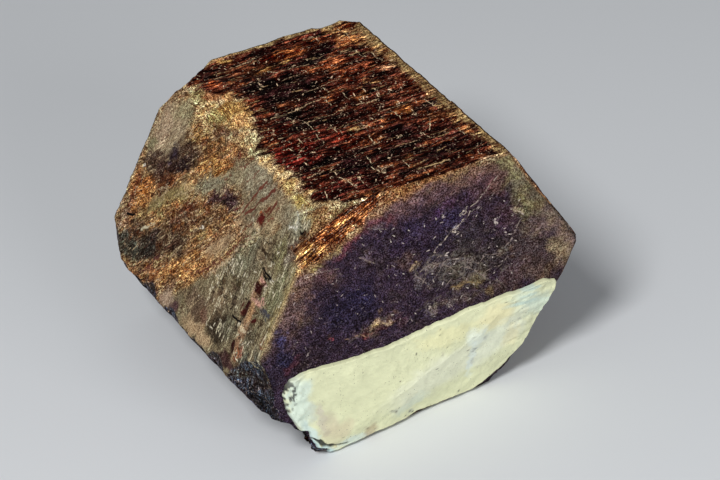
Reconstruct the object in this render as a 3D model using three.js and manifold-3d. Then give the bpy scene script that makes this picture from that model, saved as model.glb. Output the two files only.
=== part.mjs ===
// Rough corundum: one stubby six-sided crystal lying on a long face, with a coat of dried white
// paint low on its front end. Lengths are in millimetres. X runs to the right, Y from the front
// end to the back end along the crystal's long axis, and Z up.
import * as THREE from "three";
import { mergeVertices } from "three/addons/utils/BufferGeometryUtils.js";
import Module from "manifold-3d";

const wasm = await Module();
wasm.setup();

// Driving dimensions
const FRONT = -16.15; // the front end, measured from the middle
const BACK = 16.6; // the back end
const AXIS_HEIGHT = 13.35; // the long axis above the surface the crystal lies on

// The six long faces in order round the crystal, clockwise from the top as seen from the front.
// turn is the outward direction in degrees, distance is from the long axis, relief is how deep
// the growth ledges go, and cells is how many strips the face is divided into across.
const FACES = [
  { name: "top", turn: 90, distance: 13.55, relief: 0.5, cells: 10 },
  { name: "upper right", turn: 30, distance: 16.6, relief: 0.4, cells: 7 },
  { name: "lower right", turn: -30, distance: 15.4, relief: 0.3, cells: 7 },
  { name: "bottom", turn: -90, distance: AXIS_HEIGHT, relief: 0.35, cells: 7 },
  { name: "lower left", turn: -150, distance: 17.9, relief: 0.35, cells: 6 },
  { name: "left", turn: 150, distance: 14.4, relief: 0.14, cells: 10 },
];
const BOTTOM = 3;
const LEFT = 5;

// Growth ledges: the long faces are a stack of thin slices, each set back by its own amount
const SLICES = 20;
const SLICE_JITTER = 0.5; // how far a slice's edge strays, as a share of its thickness
const RISER = 0.24; // length over which one ledge steps to the next
const BREAK_LENGTH = 5.5; // typical length of an unbroken stretch of ledge
const LEDGE_LEVELS = 4;
const FLAT_SHARE = 0.27; // how near the middle the bottom face stays flat, so that it rests

// Shallow trough that crosses the left face on a slant
const TROUGH = { along: 7.2, y: 3.6, slope: -0.85, halfWidth: 2.6, depth: 0.3 };

// Front end: almost flat. Back end: flat, split off in steps, with sunken triangles
const FRONT_WAVE = 0.12;
const CAP_SHARES = [0.4, 0.75, 0.94];
const BACK_STEPS = [
  { turn: -30, from: 3.6, depth: 0.5 },
  { turn: -30, from: 8.8, depth: 1.05 },
  { turn: -90, from: 8.4, depth: 0.8 },
];
const BACK_PITS = [
  { radius: 6.0, depth: 0.45, x: -3.6, z: 3.4 },
  { radius: 3.6, depth: 0.95, x: -3.9, z: 3.9 },
  { radius: 3.0, depth: 0.5, x: -10.5, z: -1.2 },
];

// Broken and worn places. Each is a rough plane through three points, measured from the middle of
// the long axis; what lies beyond it on its out side is gone. FRONT and BACK mark the ends.
const BREAKS = [
  {
    name: "worn top left edge",
    out: [-1, 0, 2],
    rough: 0.22,
    points: [[-7.9, BACK, 13.4], [-7.9, FRONT, 13.4], [-9.4, FRONT, 12.4]],
  },
  {
    name: "splintered front edge",
    out: [0, -1, 0.3],
    rough: 0.22,
    points: [[-8.8, -15.05, 13.4], [-9.0, FRONT, 9.0], [0, FRONT, 12.1]],
  },
  {
    name: "worn front top edge",
    out: [0, -1, 1],
    rough: 0.08,
    points: [[-8, -15.7, 13.4], [11, -15.8, 13.4], [2, FRONT, 12.8]],
  },
  {
    name: "worn front right edge",
    out: [1, -1, 0.5],
    rough: 0.08,
    points: [[11.1, FRONT, 13.0], [17.5, FRONT, 1.9], [14.8, -15.75, 7.6]],
  },
  {
    name: "worn right corner",
    out: [1, 0, 0],
    rough: 0.12,
    points: [[18.15, FRONT, 2.1], [18.15, BACK, 2.1], [18.1, 0, 0.8]],
  },
  {
    name: "break low on the front",
    out: [0, -1, -0.2],
    rough: 0.2,
    points: [[-9, FRONT, -11.6], [6.5, FRONT, -5.6], [3, -14.6, -12.8]],
  },
  {
    name: "break low on the front, right end",
    out: [0.2, -1, -0.3],
    rough: 0.2,
    points: [[6.5, FRONT, -6.0], [15.2, FRONT, -2.0], [12.4, -14.9, -7.9]],
  },
  {
    name: "worn lower right edge",
    out: [1, -1, -0.5],
    rough: 0.1,
    points: [[15.65, FRONT, -3.0], [12.6, FRONT, -8.0], [14.6, -13.6, -5.5]],
  },
  {
    name: "lost lower right corner",
    out: [1, -1, -1],
    rough: 0.45,
    points: [[14.4, FRONT, -8.2], [7.4, FRONT, -13.4], [10.9, -10.9, -AXIS_HEIGHT]],
  },
  {
    name: "back top left corner",
    out: [-1, 1, 1],
    rough: 0.3,
    points: [[-11.3, BACK, 9.3], [-8.9, 13.7, 13.4], [-5.0, BACK, 13.4]],
  },
  {
    name: "back left corner",
    out: [-1, 0.4, 0],
    rough: 0.3,
    points: [[-18.5, 12.4, -3.2], [-17.0, BACK, 0.2], [-16.6, BACK, -6.3]],
  },
  {
    name: "back lower right corner",
    out: [1, 1, -1],
    rough: 0.4,
    points: [[14.2, BACK, -5.6], [5.0, BACK, -AXIS_HEIGHT], [9.8, 9.8, -AXIS_HEIGHT]],
  },
];

// Shell-shaped chips: a rough ball of this radius has bitten this deep below the point at,
// coming in against out
const CHIPS = [
  {
    name: "top left edge",
    at: [-8.9, 6.4, 13.4],
    out: [-0.5, 0.05, 0.866],
    radius: 13,
    bite: 1.25,
    rough: 0.5,
  },
  {
    name: "front left corner",
    at: [-18.4, FRONT, -3.2],
    out: [-0.9, -0.42, -0.1],
    radius: 11,
    bite: 2.4,
    rough: 0.3,
  },
  {
    name: "front lower left corner",
    at: [-14.9, -11.7, -10.0],
    out: [-0.866, 0, -0.5],
    radius: 9,
    bite: 3.3,
    rough: 0.7,
  },
  {
    name: "tip of the lower left corner",
    at: [-11.5, FRONT, -AXIS_HEIGHT],
    out: [-0.55, -0.45, -0.7],
    radius: 5,
    bite: 0.7,
    rough: 0.3,
  },
  {
    name: "lower left edge, back",
    at: [-18.6, 5.9, -3.6],
    out: [-1, 0, -0.1],
    radius: 3.6,
    bite: 0.75,
    rough: 0.25,
  },
  {
    name: "lower left edge, middle",
    at: [-18.6, 0.6, -3.6],
    out: [-1, 0, -0.2],
    radius: 3,
    bite: 0.8,
    rough: 0.25,
  },
  {
    name: "lower left edge, front",
    at: [-18.6, -9.8, -3.6],
    out: [-1, 0, 0.05],
    radius: 3.6,
    bite: 0.7,
    rough: 0.25,
  },
  {
    name: "back right top corner",
    at: [8.4, 16.3, 13.5],
    out: [0, 0.5, 0.87],
    radius: 4.2,
    bite: 0.5,
    rough: 0.2,
  },
];

// Narrow pits on the left face, drawn out along its growth lines: place along the face from its
// lower edge, place along the crystal, length, width and depth
const LEFT_PITS = [
  { along: 2.2, y: -11.4, length: 1.6, width: 0.7, depth: 0.45 },
  { along: 4.6, y: -10.6, length: 1.9, width: 0.6, depth: 0.4 },
  { along: 7.4, y: -11.3, length: 1.5, width: 0.7, depth: 0.45 },
  { along: 9.8, y: -10.9, length: 1.3, width: 0.5, depth: 0.35 },
  { along: 5.2, y: -6.4, length: 1.4, width: 0.6, depth: 0.4 },
  { along: 7.6, y: -5.3, length: 1.2, width: 0.5, depth: 0.35 },
  { along: 12.2, y: -9.8, length: 1.1, width: 0.5, depth: 0.35 },
  { along: 3.6, y: 13.9, length: 1.2, width: 0.6, depth: 0.45 },
];

// Paint: a skin over the low part of the front end. Its outline is seen from the front
const PAINT_GAP = 0.3;
const PAINT_THICKNESS = 0.35;
const PAINT_REACH = 2.1; // how far behind the front end, and before it, paint can lie
const PAINT_OUTLINE = [
  [-13.7, -3.6], [-12.2, -3.2], [-8, -3.15], [-4, -3.2], [0, -2.9], [4, -2.5], [8, -2.2], [12, -2.1],
  [15.5, -2.1], [15.7, -3.0], [14.8, -5.2], [13.8, -7.4], [12.6, -9.2], [10.4, -11.2], [7.8, -12.9],
  [6.2, -13.2], [-10.2, -13.2], [-11.2, -12.2], [-11.4, -10.5], [-12.6, -8.2], [-14.2, -5.2],
];

// Colours of the plain model
const STONE = { color: 0x4a3530, roughness: 0.55, metalness: 0 };
const PAINT = { color: 0xe9e6cf, roughness: 0.4, metalness: 0 };

// Repeatable scatter: lattice gives a number from 0 to 1 for each lattice point, and noise
// blends it smoothly between them, from -1 to 1
function lattice(x, y, z, seed) {
  const value = Math.sin(x * 127.1 + y * 311.7 + z * 74.7 + seed * 53.3) * 43758.5453;
  return value - Math.floor(value);
}

function noise(x, y, z, seed) {
  const cell = [x, y, z].map(Math.floor);
  const [sx, sy, sz] = [x, y, z].map((v, k) => {
    const f = v - cell[k];
    return f * f * (3 - 2 * f);
  });
  let sum = 0;
  for (const dx of [0, 1])
    for (const dy of [0, 1])
      for (const dz of [0, 1]) {
        const weight = (dx ? sx : 1 - sx) * (dy ? sy : 1 - sy) * (dz ? sz : 1 - sz);
        sum += weight * lattice(cell[0] + dx, cell[1] + dy, cell[2] + dz, seed);
      }
  return sum * 2 - 1;
}

const faceNormal = (face) => {
  const turn = THREE.MathUtils.degToRad(face.turn);
  return new THREE.Vector2(Math.cos(turn), Math.sin(turn));
};

// Where the outlines of two long faces cross, in the plane across the crystal
function corner(before, after) {
  const a = faceNormal(before);
  const b = faceNormal(after);
  const det = a.x * b.y - a.y * b.x;
  return new THREE.Vector2(
    (before.distance * b.y - after.distance * a.y) / det,
    (after.distance * a.x - before.distance * b.x) / det,
  );
}

// The six-sided outline as a list of points, each with its face and its place along that face
function sectionOutline() {
  const corners = FACES.map((face, k) => corner(FACES[(k + 5) % 6], face));
  return FACES.flatMap((face, k) => {
    const from = corners[k];
    const to = corners[(k + 1) % 6];
    return Array.from({ length: face.cells }, (_, c) => ({
      point: from.clone().lerp(to, c / face.cells),
      face: k,
      along: (c / face.cells) * from.distanceTo(to),
      length: from.distanceTo(to),
      previousLength: corners[(k + 5) % 6].distanceTo(from),
      isCorner: c === 0,
    }));
  });
}

// Where slice k begins along the crystal; the last value is the back end
function sliceEdge(k) {
  const jitter = k === 0 || k === SLICES ? 0 : SLICE_JITTER * (lattice(k, 0, 0, 3) - 0.5);
  return THREE.MathUtils.lerp(FRONT, BACK, (k + jitter) / SLICES);
}

// How far a face is set back at a slice, from 0 to 1 in even levels: each slice has its own
// depth, and is broken off deeper or shallower in stretches
function ledgeLevel(slice, face, along) {
  const own = lattice(slice, face, 0, 11);
  const broken = noise(along / BREAK_LENGTH, slice * 5.3, face * 9.7, 5);
  const level = Math.round((0.62 * own + 0.5 * broken + 0.18) * LEDGE_LEVELS) / LEDGE_LEVELS;
  const middle = Math.abs(slice + 0.5 - SLICES / 2) / SLICES;
  if (face === BOTTOM && middle < FLAT_SHARE) return 0;
  return THREE.MathUtils.clamp(face === BOTTOM ? level - 0.4 : level, 0, 1);
}

function setBack(slice, face, along, y) {
  let depth = FACES[face].relief * ledgeLevel(slice, face, along);
  if (face === LEFT) {
    const across = (y - TROUGH.y - TROUGH.slope * (along - TROUGH.along)) / TROUGH.halfWidth;
    depth += TROUGH.depth * Math.exp(-across * across);
  }
  return depth;
}

// A point of the long faces: the outline point, moved in along its face's normal. A corner point
// moves to where its two faces meet once both are set back
const CORNER_ANGLE = Math.PI / 3;
function sidePoint(node, slice, y) {
  const point = node.point.clone();
  const normal = faceNormal(FACES[node.face]);
  const depth = setBack(slice, node.face, node.along, y);
  if (!node.isCorner) return point.addScaledVector(normal, -depth);
  const previous = (node.face + 5) % 6;
  const otherDepth = setBack(slice, previous, node.previousLength, y);
  const blend = (own, other) => (other * Math.cos(CORNER_ANGLE) - own) / Math.sin(CORNER_ANGLE) ** 2;
  point.addScaledVector(normal, blend(depth, otherDepth));
  return point.addScaledVector(faceNormal(FACES[previous]), blend(otherDepth, depth));
}

// Rings of the crystal from the front end's middle, along the slices, to the back end's middle
function crystalRings() {
  const last = SLICES - 1;
  const rings = [0, ...CAP_SHARES].map((share) => ({ share, y: FRONT, slice: 0 }));
  for (let slice = 0; slice < SLICES; slice++) {
    const start = slice === 0 ? FRONT : sliceEdge(slice) + RISER / 2;
    const end = slice === last ? BACK : sliceEdge(slice + 1) - RISER / 2;
    rings.push({ share: 1, y: start, slice }, { share: 1, y: end, slice });
  }
  rings.push({ share: CAP_SHARES.at(-1), y: BACK, slice: last }, { share: 0, y: BACK, slice: last });
  return rings;
}

// The whole crystal before anything is broken off it: a lathe's rings drawn out to the
// six-sided outline
function grownCrystal() {
  const outline = sectionOutline();
  const rings = crystalRings();
  const profile = rings.map((ring) => new THREE.Vector2(ring.share, ring.y));
  const geometry = new THREE.LatheGeometry(profile, outline.length);
  const position = geometry.getAttribute("position");
  for (let k = 0; k < position.count; k++) {
    const ring = rings[k % rings.length];
    const node = outline[Math.floor(k / rings.length) % outline.length];
    const side = sidePoint(node, ring.slice, ring.y).multiplyScalar(ring.share);
    const wave = ring.share < 1 && ring.y < 0 ? FRONT_WAVE * noise(side.x / 6, 0, side.y / 6, 21) : 0;
    position.setXYZ(k, side.x, ring.y + wave, side.y);
  }
  return geometry;
}

// A closed geometry as a solid that can be joined and cut
function solid(geometry) {
  const bare = geometry.clone();
  bare.deleteAttribute("normal");
  bare.deleteAttribute("uv");
  const merged = mergeVertices(bare, 1e-4);
  const triVerts = new Uint32Array(merged.index.array);
  const vertProperties = new Float32Array(merged.getAttribute("position").array);
  return new wasm.Manifold(new wasm.Mesh({ numProp: 3, vertProperties, triVerts }));
}

function geometryOf(shape) {
  const mesh = shape.getMesh();
  const geometry = new THREE.BufferGeometry();
  geometry.setAttribute("position", new THREE.BufferAttribute(mesh.vertProperties, 3));
  geometry.setIndex(new THREE.BufferAttribute(mesh.triVerts, 1));
  geometry.computeVertexNormals();
  return geometry;
}

// A thick slab whose inner face lies on the break's plane and is rough; taking it away leaves
// the broken surface
const SLAB_SIDE = 46;
const SLAB_CELLS = 18;
const SLAB_THICKNESS = 14;
const BREAK_GRAIN = 2.7; // size of the humps on a broken surface
const CHIP_DETAIL = 7;
function breakSlab({ points, out, rough }, index) {
  const [a, b, c] = points.map((p) => new THREE.Vector3(...p));
  const normal = b.clone().sub(a).cross(c.clone().sub(a)).normalize();
  if (normal.dot(new THREE.Vector3(...out)) < 0) normal.negate();
  const middle = a.clone().add(b).add(c).divideScalar(3);
  const geometry = new THREE.BoxGeometry(SLAB_SIDE, SLAB_SIDE, SLAB_THICKNESS, SLAB_CELLS, SLAB_CELLS, 1);
  const position = geometry.getAttribute("position");
  const turn = new THREE.Quaternion().setFromUnitVectors(new THREE.Vector3(0, 0, 1), normal);
  for (let k = 0; k < position.count; k++) {
    const p = new THREE.Vector3().fromBufferAttribute(position, k);
    const inner = p.z < 0;
    p.applyQuaternion(turn).add(middle).addScaledVector(normal, SLAB_THICKNESS / 2);
    const place = p.clone().divideScalar(BREAK_GRAIN);
    if (inner) p.addScaledVector(normal, rough * noise(place.x, place.y, place.z, 40 + index));
    position.setXYZ(k, p.x, p.y, p.z);
  }
  return solid(geometry);
}

function chipBall({ at, out, radius, bite, rough }) {
  const outward = new THREE.Vector3(...out).normalize();
  const centre = new THREE.Vector3(...at).addScaledVector(outward, radius - bite);
  const geometry = new THREE.IcosahedronGeometry(radius, CHIP_DETAIL);
  const position = geometry.getAttribute("position");
  for (let k = 0; k < position.count; k++) {
    const p = new THREE.Vector3().fromBufferAttribute(position, k);
    const place = p.clone().add(centre).divideScalar(BREAK_GRAIN);
    p.multiplyScalar(1 + (rough * noise(place.x, place.y, place.z, 60)) / radius).add(centre);
    position.setXYZ(k, p.x, p.y, p.z);
  }
  return solid(geometry);
}

// A block that takes away the back end beyond a line at this turn and distance from the axis
function backStep({ turn, from, depth }) {
  const block = new THREE.BoxGeometry(SLAB_SIDE, 2 * depth, SLAB_SIDE).translate(from + SLAB_SIDE / 2, 0, 0);
  return solid(block.rotateY(-THREE.MathUtils.degToRad(turn)).translate(0, BACK, 0));
}

// A three-sided prism sunk into the back end
function backPit({ radius, depth, x, z }) {
  const prism = new THREE.CylinderGeometry(radius, radius, 2 * depth, 3);
  return solid(prism.rotateY(Math.PI).translate(x, BACK, z));
}

// A six-sided needle laid half sunk in the left face, sharp at both ends
function leftPit({ along, y, length, width, depth }) {
  const face = FACES[LEFT];
  const outward = faceNormal(face);
  const lowerCorner = corner(FACES[LEFT - 1], face);
  const up = corner(face, FACES[0]).sub(lowerCorner).normalize();
  const place = lowerCorner.addScaledVector(up, along).addScaledVector(outward, -TROUGH.depth / 3);
  const profile = [[0, -length / 2], [width / 2, 0], [0, length / 2]];
  const needle = new THREE.LatheGeometry(profile.map(([r, h]) => new THREE.Vector2(r, h)), 6);
  needle.scale(1, 1, depth / (width / 2));
  const turn = new THREE.Matrix4().makeBasis(
    new THREE.Vector3(0, -1, 0),
    new THREE.Vector3(up.x, 0, up.y),
    new THREE.Vector3(outward.x, 0, outward.y),
  );
  return solid(needle.applyMatrix4(turn).translate(place.x, y, place.y));
}

function brokenCrystal() {
  const cutters = [
    ...BREAKS.map(breakSlab),
    ...CHIPS.map(chipBall),
    ...BACK_STEPS.map(backStep),
    ...BACK_PITS.map(backPit),
    ...LEFT_PITS.map(leftPit),
  ];
  return cutters.reduce((crystal, cutter) => crystal.subtract(cutter), solid(grownCrystal()));
}

// The paint is what lies between the crystal moved out by the gap and moved out by the gap and
// the thickness, inside the painted outline
function paintSkin(crystal) {
  const outline = new THREE.Shape(PAINT_OUTLINE.map(([x, z]) => new THREE.Vector2(x, z)));
  const block = new THREE.ExtrudeGeometry(outline, { depth: 2 * PAINT_REACH, bevelEnabled: false });
  block.rotateX(Math.PI / 2).translate(0, FRONT + PAINT_REACH, 0);
  const outward = new THREE.Vector3(0, -1, 0);
  const shifted = (distance) => crystal.translate(outward.clone().multiplyScalar(distance).toArray());
  return solid(block).intersect(shifted(PAINT_GAP + PAINT_THICKNESS)).subtract(shifted(PAINT_GAP));
}

function namedMesh(name, shape, look) {
  const mesh = new THREE.Mesh(geometryOf(shape), new THREE.MeshStandardMaterial(look));
  mesh.name = name;
  return mesh;
}

const crystal = brokenCrystal();
const part = new THREE.Group();
part.add(namedMesh("corundum_crystal", crystal, STONE));
part.add(namedMesh("white_paint_patch", paintSkin(crystal), PAINT));
part.position.set(0, 0, AXIS_HEIGHT);

export default part;
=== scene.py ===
"""Rough corundum: one stubby six-sided crystal lying on a long face, with a coat of dried white
paint low on its front end.

The script works in millimetres round the crystal's long axis, X to the right, Y from the front
end to the back end and Z up, and turns them into metres on the frame when a mesh is made.
"""

import bpy
import numpy as np
from mathutils import Matrix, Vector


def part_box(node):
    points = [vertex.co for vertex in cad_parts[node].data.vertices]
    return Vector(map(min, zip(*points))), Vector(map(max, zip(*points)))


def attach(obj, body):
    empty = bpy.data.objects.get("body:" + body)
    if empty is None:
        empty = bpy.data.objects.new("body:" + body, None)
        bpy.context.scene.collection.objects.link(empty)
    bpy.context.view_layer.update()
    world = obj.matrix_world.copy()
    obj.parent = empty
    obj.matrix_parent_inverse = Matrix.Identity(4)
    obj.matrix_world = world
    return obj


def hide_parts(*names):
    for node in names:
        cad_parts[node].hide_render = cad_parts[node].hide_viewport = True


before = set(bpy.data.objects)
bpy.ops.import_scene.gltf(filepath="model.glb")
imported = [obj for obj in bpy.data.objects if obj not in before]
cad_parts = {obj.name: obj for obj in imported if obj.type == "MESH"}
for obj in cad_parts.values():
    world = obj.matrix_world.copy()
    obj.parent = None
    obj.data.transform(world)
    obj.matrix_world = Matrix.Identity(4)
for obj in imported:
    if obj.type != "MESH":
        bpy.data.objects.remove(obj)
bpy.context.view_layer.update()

# Driving dimensions, the solid's own
FRONT = -16.15
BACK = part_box("corundum_crystal")[1][1] * 1000
AXIS_HEIGHT = 13.35

# The six long faces, clockwise from the top as seen from the front: outward direction in
# degrees, distance from the long axis, depth of the growth ledges, depth of the fine steps on
# them, and the number of mesh columns across
TOP, UPPER_RIGHT, LOWER_RIGHT, BOTTOM, LOWER_LEFT, LEFT = range(6)
TURN = np.radians([90, 30, -30, -90, -150, 150])
DISTANCE = np.array([13.55, 16.6, 15.4, AXIS_HEIGHT, 17.9, 14.4])
LEDGE = np.array([0.45, 0.28, 0.26, 0.35, 0.35, 0.14])
FINE_STEP = np.array([0.3, 0.1, 0.12, 0.05, 0.16, 0.05])
COLUMNS = np.array([130, 36, 30, 16, 36, 110])
NORMAL = np.stack([np.cos(TURN), np.sin(TURN)], axis=1)
# Cosine of the angle between neighbouring faces
FACE_COS = 0.5

# Mesh rings: over the front end, along the crystal, over the back end
FRONT_RINGS, LENGTH_RINGS, BACK_RINGS = 72, 182, 26
# Share of the front end, in from its rim, over which its relief sets in
END_RIM = 0.06

# Growth slices along the crystal, the share of one over which its edges stray, the length of
# the stretches that break off a slice, and the equal steps in a ledge's depth
SLICES = 20
SLICE_JITTER = 0.5
BREAK_LENGTH = 5.5
LEDGE_LEVELS = 4
# The face below is flat to this share of the slices and this far either side of its middle
FLAT_SHARE = 0.27
RESTING_LENGTH = 9
# The trough on the left face: a place on it, how it slants, half its width, and its depth
TROUGH = {"along": 7.2, "y": 3.6, "slope": -0.85, "half_width": 2.6, "depth": 0.3}
# Depth of the front end's wide waves
FRONT_WAVE = 0.108
# The slanting growth on the left face: how far y falls for each step along the face, and the
# length of that slope
SLANT, SLANT_LENGTH = 0.9, 1.345

# Rough planes that worn and broken places follow: three points, the outward side, how rough.
# A place with along_y is pushed straight back, so that the paint can follow the same surface
BREAKS = {
    "worn top left edge": dict(
        out=(-1, 0, 2), rough=0.25, points=((-7.9, BACK, 13.4), (-7.9, FRONT, 13.4), (-9.4, FRONT, 12.4))),
    "splintered front edge": dict(
        out=(0, -1, 0.3), rough=0.25, points=((-8.8, -15.05, 13.4), (-9.0, FRONT, 9.0), (0, FRONT, 12.1))),
    "worn front top edge": dict(
        out=(0, -1, 1), rough=0.1, points=((-8, -15.7, 13.4), (11, -15.8, 13.4), (2, FRONT, 12.8))),
    "worn front right edge": dict(
        out=(1, -1, 0.5), rough=0.1, points=((11.1, FRONT, 13.0), (17.5, FRONT, 1.9), (14.8, -15.75, 7.6))),
    "worn right corner": dict(
        out=(1, 0, 0), rough=0.12, points=((18.15, FRONT, 2.1), (18.15, BACK, 2.1), (18.1, 0, 0.8))),
    "break low on the front": dict(
        out=(0, -1, -0.2), rough=0.14, along_y=True,
        points=((-9, FRONT, -11.6), (6.5, FRONT, -5.6), (3, -14.6, -12.8))),
    "break low on the front, right end": dict(
        out=(0.2, -1, -0.3), rough=0.14, along_y=True,
        points=((6.5, FRONT, -6.0), (15.2, FRONT, -2.0), (12.4, -14.9, -7.9))),
    "worn lower right edge": dict(
        out=(1, -1, -0.5), rough=0.1,
        points=((15.65, FRONT, -3.0), (12.6, FRONT, -8.0), (14.6, -13.6, -5.5))),
    "lost lower right corner": dict(
        out=(1, -1, -1), rough=0.4,
        points=((14.4, FRONT, -8.2), (7.4, FRONT, -13.4), (10.9, -10.9, -AXIS_HEIGHT))),
    "back top left corner": dict(
        out=(-1, 1, 1), rough=0.3, points=((-11.3, BACK, 9.3), (-8.9, 13.7, 13.4), (-5.0, BACK, 13.4))),
    "back left corner": dict(
        out=(-1, 0.4, 0), rough=0.3, points=((-18.5, 12.4, -3.2), (-17.0, BACK, 0.2), (-16.6, BACK, -6.3))),
    "back lower right corner": dict(
        out=(1, 1, -1), rough=0.4,
        points=((14.2, BACK, -5.6), (5.0, BACK, -AXIS_HEIGHT), (9.8, 9.8, -AXIS_HEIGHT))),
    "worn back top right corner": dict(
        out=(1, 1, 1), rough=0.15, points=((9.7, BACK, 13.4), (11.4, 14.9, 13.4), (12.3, BACK, 11.9))),
}
# Rough balls that are chipped away: a place on the edge, the outward side, the radius, how deep
# it bites, how rough
CHIPS = {
    "top left edge": dict(
        at=(-8.9, 6.4, 13.4), out=(-0.5, 0.05, 0.866), radius=13, bite=1.25, rough=0.45),
    "front left corner": dict(
        at=(-18.4, FRONT, -3.2), out=(-0.9, -0.42, -0.1), radius=11, bite=2.4, rough=0.3),
    "front lower left corner": dict(
        at=(-14.9, -11.7, -10.0), out=(-0.866, 0, -0.5), radius=9, bite=3.1, rough=0.6),
    "tip of the lower left corner": dict(
        at=(-11.5, FRONT, -AXIS_HEIGHT), out=(-0.55, -0.45, -0.7), radius=5, bite=0.7, rough=0.3),
    "lower left edge, back": dict(
        at=(-18.6, 5.9, -3.6), out=(-1, 0, -0.1), radius=3.6, bite=0.75, rough=0.25),
    "lower left edge, middle": dict(
        at=(-18.6, 0.6, -3.6), out=(-1, 0, -0.2), radius=3, bite=0.8, rough=0.25),
    "lower left edge, front": dict(
        at=(-18.6, -9.8, -3.6), out=(-1, 0, 0.05), radius=3.6, bite=0.7, rough=0.25),
    "back right top corner": dict(
        at=(8.4, 16.3, 13.5), out=(0, 0.5, 0.87), radius=4.2, bite=0.5, rough=0.2),
}
# Size of the roughness of broken and chipped places, and its seeds
BREAK_GRAIN, BREAK_SEED, CHIP_SEED = 2.7, 40, 60
# How the names begin of the breaks that the paint lies on
UNDER_PAINT = ("break low", "lost lower right", "worn lower right")


def lattice(x, y, z, seed):
    """A repeatable scatter from 0 to 1: the fraction of a large multiple of a sine."""
    value = np.sin(x * 127.1 + y * 311.7 + z * 74.7 + seed * 53.3) * 43758.5453
    return value - np.floor(value)


def noise(x, y, z, seed):
    """Lattice values at the eight corners of each point's cell, blended smoothly, -1 to 1."""
    x, y, z = np.broadcast_arrays(*(np.asarray(v, float) for v in (x, y, z)))
    cx, cy, cz = np.floor(x), np.floor(y), np.floor(z)
    fx, fy, fz = x - cx, y - cy, z - cz
    sx, sy, sz = (f * f * (3 - 2 * f) for f in (fx, fy, fz))
    total = 0.0
    for dx in (0, 1):
        for dy in (0, 1):
            for dz in (0, 1):
                weight = (sx if dx else 1 - sx) * (sy if dy else 1 - sy) * (sz if dz else 1 - sz)
                total = total + weight * lattice(cx + dx, cy + dy, cz + dz, seed)
    return total * 2 - 1


def rough_noise(p, size, seed, octaves=3, fall=0.45):
    """Noise at this size plus finer ones, each at two fifths of the size and fall times as high."""
    total = 0.0
    for k in range(octaves):
        x, y, z = np.moveaxis(p / (size * 0.4 ** k), -1, 0)
        total = total + fall ** k * noise(x, y, z, seed + 7 * k)
    return total


def face_points(u, v):
    """Places on a long face as points for the noise, with no third coordinate."""
    return np.stack([u, v, 0 * v], axis=-1)


def end_points(x, z):
    """Places on an end as points for the noise, with no length along the crystal."""
    return np.stack([x, 0 * x, z], axis=-1)


def smooth(low, high, value):
    """0 at low, 1 at high, and a smooth S between them."""
    t = np.clip((value - low) / (high - low), 0, 1)
    return t * t * (3 - 2 * t)


def linear(red, green, blue):
    """A screen colour, 0 to 255, as the linear values that a shader takes."""
    c = np.array([red, green, blue]) / 255
    return np.where(c < 0.04045, c / 12.92, ((c + 0.055) / 1.055) ** 2.4)


def plain(shape, red, green, blue):
    """One screen colour everywhere on a grid."""
    return np.broadcast_to(linear(red, green, blue), (*shape, 3))


def mix(base, colour, weight):
    """The base where the weight is 0, the colour where it is 1."""
    return base + (colour - base) * weight[..., None]


def mottle(base, value, low, high):
    """The base times low, per channel, where value is -1, and times high where it is 1."""
    value = np.clip(value, -1, 1)[..., None]
    return base * np.where(value < 0, np.array(low) ** -value, np.array(high) ** value)


# The camera looks along the photograph's view: measured round the crystal's middle
CAMERA = {"azimuth": -24.54, "elevation": 32.05, "roll": -5.17, "distance": 356.8, "right": 2.18, "up": -0.88}
FOCAL, SENSOR = 180, 36


def make_camera():
    """Back, right and up directions from azimuth and elevation, turned by the roll."""
    a, e, r = (np.radians(CAMERA[k]) for k in ("azimuth", "elevation", "roll"))
    back = np.array([np.sin(a) * np.cos(e), -np.cos(a) * np.cos(e), np.sin(e)])
    right = np.array([np.cos(a), np.sin(a), 0])
    up = np.cross(back, right)
    axes = [right * np.cos(r) + up * np.sin(r), up * np.cos(r) - right * np.sin(r), back]
    place = axes[0] * CAMERA["right"] + axes[1] * CAMERA["up"] + axes[2] * CAMERA["distance"]
    place[2] += AXIS_HEIGHT
    data = bpy.data.cameras.new("camera")
    data.lens, data.sensor_width, data.sensor_fit = FOCAL, SENSOR, "HORIZONTAL"
    data.clip_start = 0.01
    camera = bpy.data.objects.new("camera", data)
    bpy.context.collection.objects.link(camera)
    turn = Matrix([list(row) for row in np.array(axes).T])
    camera.matrix_world = Matrix.Translation(place / 1000) @ turn.to_4x4()
    bpy.context.scene.camera = camera


def make_lights():
    """Soft boxes: one high on the left, one by the camera, and a pale sky."""
    def soft_box(name, place, size, watts):
        data = bpy.data.lights.new(name, "AREA")
        data.shape, data.size, data.energy = "DISK", size, watts
        light = bpy.data.objects.new(name, data)
        light.location = place
        bpy.context.collection.objects.link(light)
        turn = (-light.location).to_track_quat("-Z", "Y").to_matrix().to_4x4()
        light.matrix_world = Matrix.Translation(place) @ turn
    soft_box("key", (-0.22, -0.20, 0.34), 0.12, 1.4)
    soft_box("fill", (0.06, -0.42, 0.14), 0.25, 0.68)
    world = bpy.data.worlds.new("pale_sky")
    world.use_nodes = True
    sky = world.node_tree.nodes["Background"]
    sky.inputs["Color"].default_value = (0.92, 0.95, 1, 1)
    sky.inputs["Strength"].default_value = 0.18
    bpy.context.scene.world = world
    bpy.context.scene.view_settings.view_transform = "Standard"


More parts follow.
